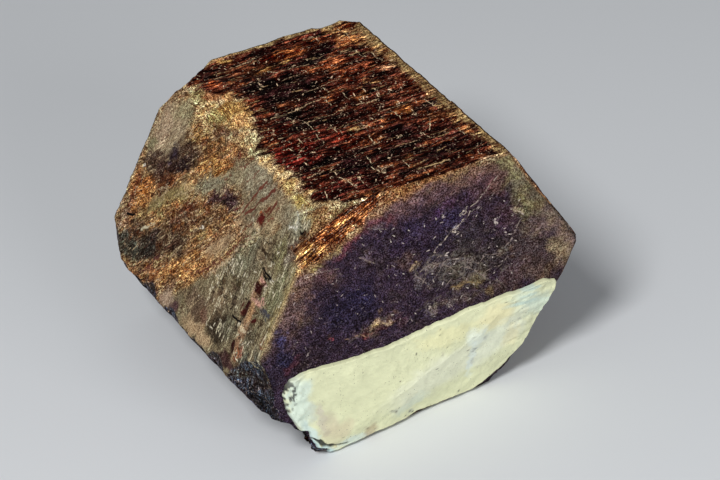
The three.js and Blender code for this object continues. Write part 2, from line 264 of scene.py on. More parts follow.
def make_floor():
    """One flat pale square, four metres wide."""
    reach = 2.0
    corners = [(x * reach, y * reach, 0) for x, y in ((-1, -1), (1, -1), (1, 1), (-1, 1))]
    mesh = bpy.data.meshes.new("floor")
    mesh.from_pydata(corners, [], [(0, 1, 2, 3)])
    floor = bpy.data.objects.new("floor", mesh)
    bpy.context.collection.objects.link(floor)
    pale = bpy.data.materials.new("pale_floor")
    pale.use_nodes = True
    shader = pale.node_tree.nodes["Principled BSDF"]
    shader.inputs["Base Color"].default_value = (0.72, 0.74, 0.76, 1)
    shader.inputs["Roughness"].default_value = 0.8
    mesh.materials.append(pale)


def corner(k):
    """Where long face k and the one before it cross, in the plane across the crystal."""
    a, b = NORMAL[k - 1], NORMAL[k]
    det = a[0] * b[1] - a[1] * b[0]
    da, db = DISTANCE[k - 1], DISTANCE[k]
    return np.array([da * b[1] - db * a[1], db * a[0] - da * b[0]]) / det


CORNERS = np.array([corner(k) for k in range(6)])
FACE_LENGTH = np.linalg.norm(np.roll(CORNERS, -1, axis=0) - CORNERS, axis=1)


def slice_edges():
    """Where the growth slices part along the crystal: even steps, each shifted a little."""
    k = np.arange(SLICES + 1.0)
    jitter = SLICE_JITTER * (lattice(k, 0, 0, 3) - 0.5)
    jitter[[0, -1]] = 0
    return FRONT + (BACK - FRONT) * (k + jitter) / SLICES


SLICE_EDGES = slice_edges()


def ledge_depth(face, along, y):
    """How far the growth slice at y is set back: its own level, broken off in stretches."""
    wavy = y + 0.08 * noise(along / 3, y / 2, face, 9)
    part = np.clip(np.searchsorted(SLICE_EDGES, wavy) - 1, 0, SLICES - 1)
    own = lattice(part.astype(float), face.astype(float), 0.0, 11)
    broken = noise(along / BREAK_LENGTH, part * 5.3, face * 9.7, 5)
    level = np.floor((0.62 * own + 0.5 * broken + 0.18) * LEDGE_LEVELS + 0.5) / LEDGE_LEVELS
    middle = np.abs(part + 0.5 - SLICES / 2) / SLICES
    level = np.where(face == BOTTOM, np.where(middle < FLAT_SHARE, 0, level - 0.4), level)
    return LEDGE[face] * np.clip(level, 0, 1)


def fine_step(face, along, y, width, stretch, seed):
    """Bands of this width across the crystal, each broken into long splinters at three levels."""
    shifted = y + 0.3 * width * noise(along / 5, y / 3, face, seed)
    band = np.floor(shifted / width)
    level = noise(along / stretch + 31 * lattice(band, face, 0, seed), band * 3.7, face * 5.1, seed + 1)
    return np.floor(np.clip(level * 1.4 + 0.5, 0, 0.999) * 3) / 2


# Small slanting pits on the left face: along it, y, length, width and depth
LEFT_PITS = (
    (2.2, -11.2, 1.5, 0.7, 0.45), (4.3, -10.3, 0.5, 1.3, 0.4), (6, -10.8, 1.9, 0.7, 0.4),
    (9.2, -11.6, 2, 0.7, 0.45), (10.3, -12.2, 0.4, 1.4, 0.4), (12, -10.2, 0.5, 1.4, 0.35),
    (5.8, -5.6, 0.8, 1.1, 0.4), (7.5, -7.6, 0.5, 1.8, 0.35), (16.3, -14.8, 0.5, 0.5, 0.4),
    (7.4, -12.6, 0.4, 1, 0.35), (5.6, -12.9, 0.6, 0.6, 0.3), (3.5, 14.2, 0.35, 1.1, 0.5),
    (6.8, -13.8, 0.9, 0.9, 0.2), (4.4, -5, 0.5, 0.7, 0.3), (8.1, -14.6, 0.5, 0.4, 0.25),
)


def left_pits(along, y):
    """How deep each point lies in the pits: each one a dip with a ragged oval rim."""
    point = face_points(along, y)
    wu, wy = along + 0.16 * rough_noise(point, 0.7, 201), y + 0.16 * rough_noise(point, 0.7, 203)
    depth = 0 * along
    for u, v, length, width, deep in LEFT_PITS:
        reach = np.hypot((wu - u) * 2 / length, (wy - v) * 2 / width)
        depth = np.maximum(depth, deep * (1 - smooth(0.5, 1.15, reach)))
    return depth


def trough_depth(along, y):
    """A shallow trough that slants over the left face, bell-shaped across."""
    across = (y - TROUGH["y"] - TROUGH["slope"] * (along - TROUGH["along"])) / TROUGH["half_width"]
    return TROUGH["depth"] * np.exp(-across ** 2)


def relief(face, along, y):
    """Depth under the ideal face, and the fine steps alone from 0, standing, to 1, sunken."""
    face, along, y = np.broadcast_arrays(face, along, y)
    wide, narrow = fine_step(face, along, y, 0.62, 3.4, 71), fine_step(face, along, y, 0.36, 2.2, 91)
    steps = 0.62 * wide + 0.38 * narrow
    right_edge = np.where(face == TOP, FACE_LENGTH[TOP] - along, np.where(face == UPPER_RIGHT, along, 9))
    end = np.where(face == TOP, np.minimum(BACK - y, y - FRONT), 9)
    kept = 0.35 + 0.65 * smooth(0.2, 2.2, right_edge) * smooth(0.0, 1.6, end)
    depth = (ledge_depth(face, along, y) * 0.85 + FINE_STEP[face] * steps) * kept + 0.2 * (1 - kept)
    point = face_points(along + 40 * face, y)
    crumbly = 0.03 + np.where(face == LEFT, 0.05, 0.0) * smooth(2.5, 5.5, y + SLANT * along)
    depth = depth + np.where(face == BOTTOM, 0.0, crumbly) * rough_noise(point, 1.1, 15, 4, 0.65)
    depth = depth + np.where(face == LEFT, trough_depth(along, y) + left_pits(along, y), 0)
    lying = np.where(np.abs(y) < RESTING_LENGTH, 0, np.maximum(depth, 0))
    return np.where(face == BOTTOM, lying, depth), steps


def line_mask(x, z, points, width):
    """1 on a broken line of points, falling to 0 at this distance from it."""
    best = np.full(np.shape(x), 1e9)
    for (ax, az), (bx, bz) in zip(points, points[1:]):
        dx, dz = bx - ax, bz - az
        t = np.clip(((x - ax) * dx + (z - az) * dz) / (dx * dx + dz * dz), 0, 1)
        best = np.minimum(best, np.hypot(x - ax - t * dx, z - az - t * dz))
    return np.clip(1 - best / width, 0, 1)


# Where no thin line is near: half widths aside of it, and millimetres from it. Coordinates that
# keep a point off every line, and the distance in which line_near falls from 1 to 0
FAR_ASIDE, FAR_AWAY = 8.0, 9.0
OFF_THE_PART, LINE_REACH = 99.0, 0.6
# A line of more than this half width hides thinner ones, out to this many half widths
WIDE_LINE, COVER = 0.095, 2.2


def line_field(u, v, lines):
    """The nearest of some thin lines, or a wide one that covers it: how far aside of it each point
    lies, in half widths and signed, how far from it in millimetres, and its colour with its
    strength as a fourth value."""
    side, away = np.full(np.shape(u), FAR_ASIDE), np.full(np.shape(u), FAR_AWAY)
    tint = np.zeros(np.shape(u) + (4,))
    for points, half_width, colour, strength in sorted(lines, key=lambda line: line[1]):
        (low_u, low_v), (high_u, high_v) = np.min(points, axis=0) - 1, np.max(points, axis=0) + 1
        box = np.nonzero((u > low_u) & (u < high_u) & (v > low_v) & (v < high_v))
        own_side, own_away = np.full(len(box[0]), FAR_ASIDE), np.full(len(box[0]), FAR_AWAY)
        for (au, av), (bu, bv) in zip(points, points[1:]):
            du, dv = bu - au, bv - av
            pu, pv = u[box] - au, v[box] - av
            t = np.clip((pu * du + pv * dv) / (du * du + dv * dv), 0, 1)
            distance = np.hypot(pu - t * du, pv - t * dv)
            nearer = distance < own_away
            own_away[nearer] = distance[nearer]
            own_side[nearer] = ((pu * dv - pv * du) / np.hypot(du, dv) / half_width)[nearer]
        cover = COVER * half_width if half_width > WIDE_LINE else 0
        shown = own_away < np.maximum(away[box], cover)
        at = tuple(k[shown] for k in box)
        away[at], side[at] = own_away[shown], own_side[shown]
        tint[at] = (*linear(*colour), strength)
    return side, away, tint


def wandering(points, seed, sway=0.1, pace=0.45):
    """The broken line walked at this pace, each step off to one side by up to the sway."""
    points = np.array(points, float)
    walked = np.concatenate([[0], np.cumsum(np.linalg.norm(np.diff(points, axis=0), axis=1))])
    at = np.linspace(0, walked[-1], max(int(walked[-1] / pace), 1) + 1)
    line = np.stack([np.interp(at, walked, points[:, k]) for k in (0, 1)], axis=1)
    k = np.arange(len(at), dtype=float)
    aside = 2 * np.stack([lattice(k, 0, 1, seed), lattice(k, 1, 0, seed)], axis=1) - 1
    return [tuple(p) for p in line + sway * aside]


def scattered(count, u_range, v_range, turn, spread, length, seed, mark):
    """Short straight lines at random places, turned by this angle give or take the spread, all
    with one half width, colour and strength."""
    k = np.arange(count, dtype=float)
    u, v, a, reach = (lattice(k, j, 0, seed) for j in (0, 1, 2, 3))
    u = u_range[0] + u * (u_range[1] - u_range[0])
    v = v_range[0] + v * (v_range[1] - v_range[0])
    a = np.radians(turn + spread * (2 * a - 1))
    reach = length[0] + (length[1] - length[0]) * reach ** 2
    lines = zip(u, v, a, reach)
    return [(((p, q), (p + r * np.cos(b), q + r * np.sin(b))), *mark) for p, q, b, r in lines]


def wandered(rows, seed, sway, pace):
    """Each row's line made to wander, with seeds that count up from this one."""
    return [(wandering(line, seed + k, sway, pace), *mark) for k, (line, *mark) in enumerate(rows)]


PALE, BRIGHT = (140, 124, 116), (190, 174, 158)
# Cracks and scratches on the front end: points as x, z, half width, colour and strength
FRONT_CRACK_ROWS = (
    (((9.9, 11.2), (8.8, 10.3), (7.6, 9.3), (6.8, 8.8)), 0.05, BRIGHT, 0.7),
    (((6.2, 8.9), (5.7, 8.6), (5.8, 8.2), (6.2, 8.3), (6.2, 8.9)), 0.05, BRIGHT, 0.9),
    (((6.6, 8.2), (6.3, 7.8), (5.8, 7.7)), 0.05, BRIGHT, 0.8),
    (((5.6, 7.5), (4.9, 7), (4.4, 6.9), (4, 6.4), (3.3, 5.9), (2.7, 5.3)), 0.06, BRIGHT, 0.9),
    (((5.2, 6.6), (4.6, 6.8)), 0.06, BRIGHT, 0.9),
    (((2.6, 4.9), (1.4, 4.1), (1.5, 3.2), (1.2, 2.2)), 0.06, PALE, 0.8),
    (((1, 3.6), (2.2, 4), (3.2, 3.6), (4.2, 2.8), (4.6, 2.2)), 0.06, PALE, 0.8),
    (((0.4, 3.2), (1.2, 2.4), (1.8, 1.4)), 0.05, PALE, 0.8),
    (((5.2, 3.4), (6, 2.8), (7.2, 2.3)), 0.05, PALE, 0.8),
    (((6, 2.2), (6.8, 1.6), (7.4, 0.8), (8, 0.2)), 0.07, PALE, 0.8),
    (((9.3, 2.4), (10, 3), (10.6, 3.4), (11.1, 4.2), (11.9, 5.4)), 0.06, PALE, 0.9),
    (((11, 7.1), (11.6, 6.6), (12.2, 6.3), (12.4, 5.6)), 0.06, BRIGHT, 0.7),
    (((0.6, 4.7), (0.1, 4.4), (0, 4)), 0.09, (176, 150, 110), 0.8),
    (((-4, 10.1), (-3.2, 9.8), (-2.4, 9.5)), 0.05, PALE, 0.7),
    (((-5.4, 7.4), (-4.6, 6.8), (-3.8, 6.2)), 0.07, PALE, 0.7),
    (((-10.9, 7.4), (-9.2, 7.2), (-7.6, 6.9)), 0.05, PALE, 0.7),
    (((1.8, -0.7), (1.7, -1.4), (2, -1.8), (2.4, -1.5), (2.3, -0.9)), 0.05, PALE, 0.8),
    (((-7.5, -1.1), (-6.6, -1.2), (-6, -1), (-5.4, -1.5)), 0.06, (150, 118, 96), 0.8),
    (((-4.8, -0.9), (-4.2, -0.3), (-3.6, -0.6), (-2.7, -1.1)), 0.09, (176, 150, 118), 0.9),
    (((-9.1, -0.4), (-8.9, -0.3), (-8.7, -0.5), (-8.8, -0.8), (-9.1, -0.7), (-9.1, -0.4)),
     0.05, (130, 66, 74), 0.9),
    (((4.2, 0.6), (5, 0.4), (5.8, 0.6), (7, 0.1)), 0.08, (138, 114, 76), 0.7),
    (((2.2, 4), (2.9, 4.5), (3.6, 4.4)), 0.05, PALE, 0.8),
    (((3.2, 3.6), (4, 3.9), (5, 3.5), (5.6, 3.9)), 0.05, PALE, 0.8),
    (((4.6, 2.2), (5.4, 2.6), (6.2, 2)), 0.05, PALE, 0.8),
    (((2.2, 2.2), (3, 2.9), (3.2, 3.6)), 0.05, PALE, 0.7),
    (((7.2, 2.3), (8, 2.9), (9, 2.6)), 0.05, PALE, 0.7),
    (((7.4, 0.8), (8.4, 1.3), (9.4, 1.2), (10.2, 1.8)), 0.05, PALE, 0.7),
    (((3.4, 0.9), (4, 1.5), (4.6, 2.2)), 0.05, PALE, 0.7),
)
FRONT_CRACKS = [
    *wandered(FRONT_CRACK_ROWS, 300, 0.07, 0.3),
    *scattered(70, (-3, 13), (-1.6, 9.6), 35, 180, (0.01, 0.05), 31, (0.05, (206, 192, 182), 0.85)),
    *scattered(70, (-13, 12), (-2, 10), 20, 180, (0.01, 0.05), 33, (0.05, (170, 154, 150), 0.8)),
]


def front_relief(x, z):
    """Depth of the front end's wide waves, its fine grain and its two pitted places."""
    point = end_points(x, z)
    wave = FRONT_WAVE * noise(x / 6, 0, z / 6, 21)
    depth = wave + 0.045 * rough_noise(point, 1.4, 33, 4, 0.6)
    spot = np.exp(-((x + 5.2) / 2.2) ** 2 - ((z + 0.9) / 0.8) ** 2)
    web = np.exp(-((x - 4.6) / 4.2) ** 2 - ((z - 2.2) / 1.8) ** 2)
    return depth + 0.12 * (spot + 0.6 * web) * np.maximum(rough_noise(point, 0.6, 37), 0)


def plane_of(points, out):
    """The middle of three points, and the normal of their plane on this outward side."""
    a, b, c = (np.array(p, float) for p in points)
    normal = np.cross(b - a, c - a)
    normal /= np.linalg.norm(normal)
    return (a + b + c) / 3, normal if normal @ np.array(out, float) > 0 else -normal


def beyond_break(k, place, p):
    """How far each point lies beyond a rough plane, and the plane's outward normal."""
    middle, normal = plane_of(place["points"], place["out"])
    beyond = (p - middle) @ normal - place["rough"] * rough_noise(p, BREAK_GRAIN, BREAK_SEED + k)
    return np.maximum(beyond, 0), normal


def cut_by_breaks(p):
    """Points beyond a rough plane are pushed back onto it. Returns them and how far each went."""
    moved = np.zeros(len(p))
    for k, place in enumerate(BREAKS.values()):
        beyond, normal = beyond_break(k, place, p)
        if place.get("along_y"):
            p = p + np.array([0, -1, 0]) * (beyond / normal[1])[:, None]
        else:
            p = p - normal * beyond[:, None]
            moved = moved + beyond
    return p, moved


def chip_ball(chip, p):
    """The middle of the ball that a chip follows, and its rough radius for each point."""
    out = np.array(chip["out"], float)
    out /= np.linalg.norm(out)
    middle = np.array(chip["at"], float) + out * (chip["radius"] - chip["bite"])
    return middle, chip["radius"] + chip["rough"] * rough_noise(p, BREAK_GRAIN, CHIP_SEED)


def bite_by_chips(p):
    """Points inside a rough ball are pushed out to its surface, away from the line through its
    middle along Y, so that each stays at its place along the crystal."""
    moved = np.zeros(len(p))
    for chip in CHIPS.values():
        middle, reach = chip_ball(chip, p)
        away = (p - middle) * (1, 0, 1)
        distance = np.linalg.norm(away, axis=1)
        ring = np.sqrt(np.maximum(reach ** 2 - (p[:, 1] - middle[1]) ** 2, 0))
        inside = np.maximum(ring - distance, 0)
        p = p + away / distance[:, None] * inside[:, None]
        moved = moved + inside
    return p, moved


def inside_chips(p):
    """Whether each point lies in one of the rough balls that are chipped away."""
    inside = np.zeros(len(p), bool)
    for chip in CHIPS.values():
        middle, reach = chip_ball(chip, p)
        inside |= np.linalg.norm(p - middle, axis=1) < reach
    return inside


def front_surface(x, z):
    """How far back the front end lies at x, z, with its low breaks, as the paint meets it."""
    y = FRONT + front_relief(x, z)
    p = np.stack([x, y, z], axis=-1).reshape(-1, 3)
    for k, (name, place) in enumerate(BREAKS.items()):
        if name.startswith(UNDER_PAINT):
            beyond, normal = beyond_break(k, place, p)
            p = p + np.array([0, -1, 0]) * (beyond / normal[1])[:, None]
    return p[:, 1].reshape(np.shape(x))


def outline_columns():
    """The six-sided outline as columns: each one's face, and its share of that face's width."""
    face = np.repeat(np.arange(6), COLUMNS)
    share = np.concatenate([np.arange(n) / n for n in COLUMNS])
    return face, share


def side_points(face, share, y):
    """Long-face points: both corners follow their two faces' depths, and the face lies between
    them, sunk by its own relief."""
    columns = len(face)
    depth, steps = relief(np.broadcast_to(face, (len(y), columns)), share * FACE_LENGTH[face], y[:, None])
    ends = np.concatenate([[0], np.cumsum(COLUMNS)[:-1]])
    first = depth[:, ends]
    last_along = np.broadcast_to(FACE_LENGTH, (len(y), 6))
    last = relief(np.broadcast_to(np.arange(6), (len(y), 6)), last_along, y[:, None])[0]
    before = np.roll(last, 1, axis=1)
    push = (before * FACE_COS - first)[..., None] * NORMAL
    push = push + (first * FACE_COS - before)[..., None] * np.roll(NORMAL, 1, axis=0)
    corners = CORNERS + push / (1 - FACE_COS ** 2)
    start, end = corners[:, face], np.roll(corners, -1, axis=1)[:, face]
    flat = start + (end - start) * share[:, None]
    between = first[:, face] * (1 - share) + last[:, face] * share
    point = flat + NORMAL[face] * (between - depth)[..., None]
    return point, steps


def grid_faces(rows, columns):
    """Quads of a grid whose columns close on themselves, in row order."""
    r, c = np.meshgrid(np.arange(rows - 1), np.arange(columns), indexing="ij")
    n = (c + 1) % columns
    near, far = r * columns, (r + 1) * columns
    return np.stack([near + c, far + c, far + n, near + n], axis=-1).reshape(-1, 4)


def closing_fans(rows, columns):
    """Triangles from the first ring to one pole and from the last ring to the other."""
    c = np.arange(columns)
    n = (c + 1) % columns
    last, pole = (rows - 1) * columns, rows * columns
    return [np.stack([np.full(columns, pole), c, n], axis=1),
            np.stack([np.full(columns, pole + 1), last + n, last + c], axis=1)]


def make_object(name, points, quads, fans=()):
    """A mesh of quads, and a fan of triangles round each pole, in metres on the frame."""
    mesh = bpy.data.meshes.new(name)
    metres = (points + np.array([0, 0, AXIS_HEIGHT])) / 1000
    corners = np.concatenate([quads.ravel()] + [fan.ravel() for fan in fans]).astype(np.int32)
    sizes = np.concatenate([np.full(len(quads), 4)] + [np.full(len(fan), 3) for fan in fans])
    starts = np.concatenate([[0], np.cumsum(sizes)[:-1]]).astype(np.int32)
    mesh.vertices.add(len(points))
    mesh.vertices.foreach_set("co", metres.astype(np.float32).ravel())
    mesh.loops.add(len(corners))
    mesh.loops.foreach_set("vertex_index", corners)
    mesh.polygons.add(len(sizes))
    mesh.polygons.foreach_set("loop_start", starts)
    mesh.update(calc_edges=True)
    mesh.validate()
    mesh.shade_smooth()
    piece = bpy.data.objects.new(name, mesh)
    bpy.context.collection.objects.link(piece)
    return piece


def set_colour(piece, name, colours):
    """Colours at the vertices, with a strength as a fourth value or none."""
    layer = piece.data.attributes.new(name, "FLOAT_COLOR", "POINT")
    if colours.shape[1] == 3:
        colours = np.concatenate([colours, np.ones((len(colours), 1))], axis=1)
    layer.data.foreach_set("color", np.clip(colours, 0, 1).astype(np.float32).ravel())


def set_vector(piece, name, vectors):
    """Three coordinates at each vertex."""
    layer = piece.data.attributes.new(name, "FLOAT_VECTOR", "POINT")
    layer.data.foreach_set("vector", vectors.astype(np.float32).ravel())


def set_value(piece, name, values):
    """One value from 0 to 1 at each vertex."""
    layer = piece.data.attributes.new(name, "FLOAT", "POINT")
    layer.data.foreach_set("value", np.clip(values, 0, 1).astype(np.float32).ravel())


# The middle of a stain's fading rim, as a share of its half size
SPOT_RIM = 0.9


def spots(base, u, v, marks, sway=0.45, soft=0.7):
    """Oval stains: middle u, v, half sizes, turn in degrees, screen colour and strength. Their
    rims wander by the sway and fade over this share of their size, so that none is a clean oval."""
    point = face_points(u, v)
    wu = u + sway * rough_noise(point, 1.5, 101, 5, 0.68)
    wv = v + sway * rough_noise(point, 1.5, 103, 5, 0.68)
    for mu, mv, ru, rv, turn, *colour, strength in marks:
        c, s = np.cos(np.radians(turn)), np.sin(np.radians(turn))
        du, dv = wu - mu, wv - mv
        reach = np.hypot((du * c + dv * s) / ru, (dv * c - du * s) / rv)
        outside = smooth(SPOT_RIM - soft / 2, SPOT_RIM + soft / 2, reach)
        base = mix(base, linear(*colour), strength * (1 - outside))
    return base


# The colours at the middle of the front end and of the back end
POLE_COLOURS = ((56, 46, 66), (58, 27, 20))

# Where the dark top face begins on its left, as x against y
DARK_EDGE_Y = (-16.2, -15, -13, -11, -8, -6, -1.5, 0, 1.5, 4, 6, 8, 10, 11, 13, 13.5, 16.6)
DARK_EDGE_X = (-4.5, -6.5, -7.5, -8, -7.5, -8, -8, -7.5, -7, -6, -5.8, -5.5, -6.5, -8, -7.8, -9.2, -6)

# Thin bright lines on the top face, painted glints on the splinter edges: along the striation, and needles
# across it, as x, y
TOP_GLINT_LINES = (
    ((-4.6, 2.9), (1.6, 3.1)), ((-5.8, -1.3), (-3, -1.35)), ((-3.6, 14.2), (0.4, 14.4)),
    ((-4.2, 10.1), (3, 10.2)), ((4.6, 10.2), (8, 10.1)), ((-0.4, 8.9), (1.6, 9.1)),
    ((-3.8, -8.2), (-2.4, -8.25)), ((3.4, 0.1), (5.6, 0.2)), ((-6.6, -9.3), (-5, -9.2)),
    ((-2.2, 0), (1.8, 0.1)), ((3.6, -2), (8.6, -1.9)), ((-1.6, -6.9), (2, -7)),
    ((0.6, 5.9), (4.4, 6.1)), ((-6.2, 13), (-4.4, 13.1)), ((1.2, -9.4), (4.8, -9.3)),
)
TOP_GLINT_NEEDLES = (
    ((1.2, 3.4), (1.3, 1.9)), ((3.2, 3.4), (3.3, 1.7)), ((6.3, 2.2), (6.4, 1.2)), ((-2.4, 0.6), (-2.2, -1.8)),
    ((-3.2, 1.4), (-3.3, 0.6)), ((-2.6, -2.4), (-2.7, -3.7)), ((-0.6, -2.2), (-0.4, -3.9)),
    ((0.7, -3.8), (1.2, -3.2)), ((-0.9, -11), (-0.5, -12.5)), ((-0.2, -11.3), (-0.1, -12.3)),
    ((-4.4, -11.2), (-3.9, -13)), ((2, -11.9), (2.1, -12.9)), ((9.3, -2.4), (9.5, -3.7)),
    ((7.4, -3.8), (7.2, -5)), ((6.3, -8), (6.8, -9.6)), ((8, -6.4), (7.2, -7.7)),
    ((9.4, -9.6), (9.5, -10.6)), ((2.9, -14.3), (2.9, -15.3)), ((2.4, -4.4), (2.6, -5.3)),
    ((8.1, 10), (8.4, 8.3)), ((-1, 11.3), (-0.5, 10.2)), ((8.5, 16.2), (9.2, 13.8)),
    ((9.2, 13.8), (8.8, 12.4)), ((-4.4, -2.5), (-4.4, -3.4)), ((2.2, 5.2), (2.3, 4.4)),
    ((-6.6, -12.7), (-6.9, -13.9)), ((-2.9, -12.2), (-2.9, -13.1)), ((4.2, 1.1), (4.1, 0.4)),
    ((9.2, 8.3), (9.6, 7)), ((-5.9, -3.6), (-5.7, -4)), ((5.6, -3), (5.8, -4.2)),
    ((-5.4, -4.8), (-5.5, -5.4)), ((-0.4, -9.2), (-0.3, -10)), ((1.4, -6.2), (1.8, -6.9)),
)
TOP_MARKS = [
    *wandered([(line, 0.05, (212, 178, 138), 0.8) for line in TOP_GLINT_LINES], 400, 0.04, 0.8),
    *wandered([(line, 0.044, (234, 210, 170), 0.88) for line in TOP_GLINT_NEEDLES], 430, 0.05, 0.5),
    (wandering(((2.4, -14.3), (3.4, -14), (5.8, -13.95)), 470), 0.12, (206, 172, 124), 0.9),
    *scattered(110, (-7.6, 9.8), (-15.4, 15.8), 0, 5, (0.2, 1.6), 61, (0.045, (196, 160, 112), 0.7)),
    # painted glints: tiny bright specks across the striation
    *scattered(190, (-7.8, 10.4), (-15.4, 15.8), -75, 60, (0.03, 0.14), 63, (0.05, (250, 218, 178), 0.9)),
]


# Stains on the top face, as x, y: middle, half sizes, turn in degrees, colour and strength
TOP_STAINS = (
    (7.4, 2, 3.6, 6, 0, 96, 52, 36, 0.5), (0, 15.6, 9, 1, 0, 96, 50, 34, 0.7),
    (-3.4, 12.8, 3, 1.6, 0, 108, 68, 42, 0.6), (-1, 6.4, 3.7, 2.1, 0, 26, 12, 14, 0.9),
    (-3, 9.2, 2.3, 1.1, 0, 16, 7, 10, 0.95), (0.6, 8.6, 1.8, 1.6, 0, 30, 14, 15, 0.8),
    (-2.8, 10.9, 1.6, 0.55, 0, 18, 8, 10, 0.9), (-3.8, 5, 0.9, 0.7, 0, 14, 6, 10, 0.9),
    (-3.4, 2.3, 2.6, 1, 0, 26, 12, 14, 0.85), (-1.8, -0.6, 3, 0.8, 0, 20, 10, 12, 0.85),
    (5.6, 2.6, 1.4, 0.8, 0, 24, 12, 14, 0.8), (8.6, -4, 2.4, 0.9, 0, 22, 11, 13, 0.9),
    (-3.6, -7.4, 2.6, 0.8, 0, 20, 9, 14, 0.9), (0, -7.6, 1.4, 0.6, 0, 20, 10, 12, 0.85),
    (4.4, -7.2, 1.8, 1.5, 0, 34, 18, 22, 0.8), (-5.6, -9.5, 1.8, 0.4, 0, 12, 6, 8, 0.95),
    (-2.4, -9.6, 3.2, 1, 0, 28, 14, 20, 0.85), (3, -9.6, 3, 1.5, 0, 34, 18, 20, 0.7),
    (1.8, -14.2, 1.5, 0.9, 0, 24, 14, 20, 0.85), (-2, -14.1, 1.7, 0.8, 0, 118, 70, 50, 0.8),
    (-0.6, -11.8, 1.4, 0.6, 0, 128, 96, 74, 0.7), (6, -5.4, 1.4, 1, 0, 132, 82, 58, 0.75),
    (-1.9, -7.2, 1, 0.7, 0, 84, 50, 42, 0.8), (7, -13.2, 1.8, 0.8, 0, 104, 60, 44, 0.75),
    (-1.6, -3.8, 1.6, 0.7, 0, 128, 60, 44, 0.75), (-5.6, 2.6, 1.4, 0.8, 0, 124, 70, 48, 0.75),
    (-6.8, -0.2, 1.2, 0.8, 0, 140, 92, 60, 0.75), (8, 12.4, 1.3, 1.2, 0, 190, 140, 88, 0.85),
    (5.8, -12.2, 2.4, 1, 0, 32, 18, 22, 0.75), (-5.4, 12.4, 1.6, 0.7, 0, 24, 12, 14, 0.85),
    (-6.4, 13.5, 1.3, 0.35, 0, 14, 8, 8, 0.9), (4, 10.8, 1.6, 1, 0, 28, 14, 20, 0.85),
    (5.9, 11.9, 1.1, 1, 0, 46, 20, 26, 0.85), (0.2, 15.1, 2.2, 0.5, 0, 24, 14, 18, 0.8),
    (6.6, 15, 1.2, 0.9, 0, 54, 24, 26, 0.9), (-5.8, -4.4, 2.4, 2.8, 0, 98, 32, 26, 0.9),
    (-6.8, -11.4, 1, 3, 0, 90, 38, 28, 0.7), (-3.4, -12.8, 3, 1.8, 0, 80, 34, 30, 0.7),
    (-0.8, -4.8, 1.6, 0.9, 0, 112, 42, 30, 0.8), (-5.8, 0.4, 2.2, 0.6, 0, 122, 62, 40, 0.8),
    (-6.2, 3.4, 1, 0.8, 0, 130, 70, 50, 0.7), (3.2, 13.8, 3.6, 0.9, 4, 156, 98, 52, 0.85),
    (5.2, 7.6, 1.4, 2.6, 0, 138, 84, 50, 0.8), (7, 6.4, 1.6, 2, 0, 104, 56, 36, 0.7),
    (-6.8, 12.4, 0.9, 0.7, 0, 160, 92, 54, 0.85), (-1, 11.9, 1.6, 0.8, 0, 150, 124, 74, 0.7),
    (-3.5, 15.5, 0.9, 0.5, 0, 170, 146, 86, 0.8), (1.2, 11.6, 0.7, 0.5, 0, 150, 128, 72, 0.8),
    (2.6, 9.2, 0.6, 0.9, 0, 146, 92, 56, 0.7), (6.4, -3, 1.1, 1.3, 0, 166, 118, 64, 0.85),
    (0.9, -3.7, 0.45, 0.7, 0, 214, 186, 120, 0.95), (-2.6, -3, 2.4, 0.8, 0, 110, 52, 38, 0.7),
    (2.3, -6.5, 0.9, 0.5, 0, 168, 122, 80, 0.8), (-0.9, -6.6, 0.6, 0.6, 0, 150, 100, 70, 0.7),
    (6.9, 3.6, 0.5, 0.6, 0, 190, 158, 104, 0.85), (4.6, 1.9, 1.2, 0.8, 0, 138, 96, 56, 0.7),
    (8.2, 1.4, 1.8, 1.2, 0, 112, 66, 46, 0.7), (10.4, 8.6, 0.8, 2.4, 0, 180, 148, 98, 0.8),
    (9.4, 5.2, 0.9, 0.5, 0, 206, 166, 124, 0.9), (10.3, -2, 0.7, 1.3, 0, 176, 148, 104, 0.85),
    (10.3, -7.4, 0.8, 1.7, 0, 176, 146, 98, 0.85), (10, -9.9, 0.7, 0.9, 0, 160, 106, 64, 0.8),
    (8.2, 15, 0.8, 1.6, 10, 180, 146, 86, 0.9), (9.9, 14.4, 1, 1.5, 0, 146, 84, 44, 0.85),
    (9.4, 11.6, 1, 1, 0, 150, 112, 66, 0.8), (8.9, 14.2, 1.2, 1.2, 0, 176, 146, 98, 0.85),
    (10.4, 11.6, 0.7, 1.6, 0, 176, 150, 104, 0.8), (10.5, 1.6, 0.6, 3, 0, 164, 134, 92, 0.8),
    (8.4, -5.6, 1.2, 0.7, 0, 140, 100, 66, 0.7), (8.4, -7, 1, 0.6, 0, 120, 78, 54, 0.7),
    (-5, -10.6, 0.6, 0.3, 0, 166, 130, 84, 0.85), (3.5, -10.9, 0.7, 0.25, 0, 180, 140, 78, 0.9),
    (7.4, -11.2, 0.4, 0.3, 0, 190, 130, 60, 0.85), (-0.3, -12.2, 0.9, 0.35, 0, 190, 164, 120, 0.8),
    (-4.1, -12.4, 0.4, 0.4, 0, 180, 150, 110, 0.7), (-2.6, -15.7, 6.6, 0.5, 0, 124, 72, 48, 0.85),
    (4.6, -16, 4.6, 0.5, 0, 120, 74, 48, 0.7),
)


def top_colour(x, y, steps):
    """Dark red-brown, with near-black, red and orange stretches, tan where it is worn."""
    point = face_points(x / 1.6, y)
    warm = rough_noise(point, 1.3, 215, 4, 0.7)
    base = plain(x.shape, 76, 38, 28)
    base = mix(base, linear(124, 76, 44), smooth(0.1, 1.0, warm) * 0.8)
    base = mix(base, linear(34, 16, 15), smooth(0.1, 1.0, -warm) * 0.8)
    base = spots(base, x, y, TOP_STAINS, sway=0.35, soft=0.6)
    # painted shade: darker on the sunken fine steps
    base = base * (0.78 - 0.5 * steps)[..., None] * (1.05, 0.94, 0.88)
    base = base * (1 + 0.16 * smooth(2, 12, y) - 0.16 * smooth(-6, -12, y))[..., None]
    right, back = top_rims(x, y)
    base = mix(base, linear(160, 136, 92), 0.75 * right)
    return mix(base, linear(178, 152, 106), 0.8 * back)


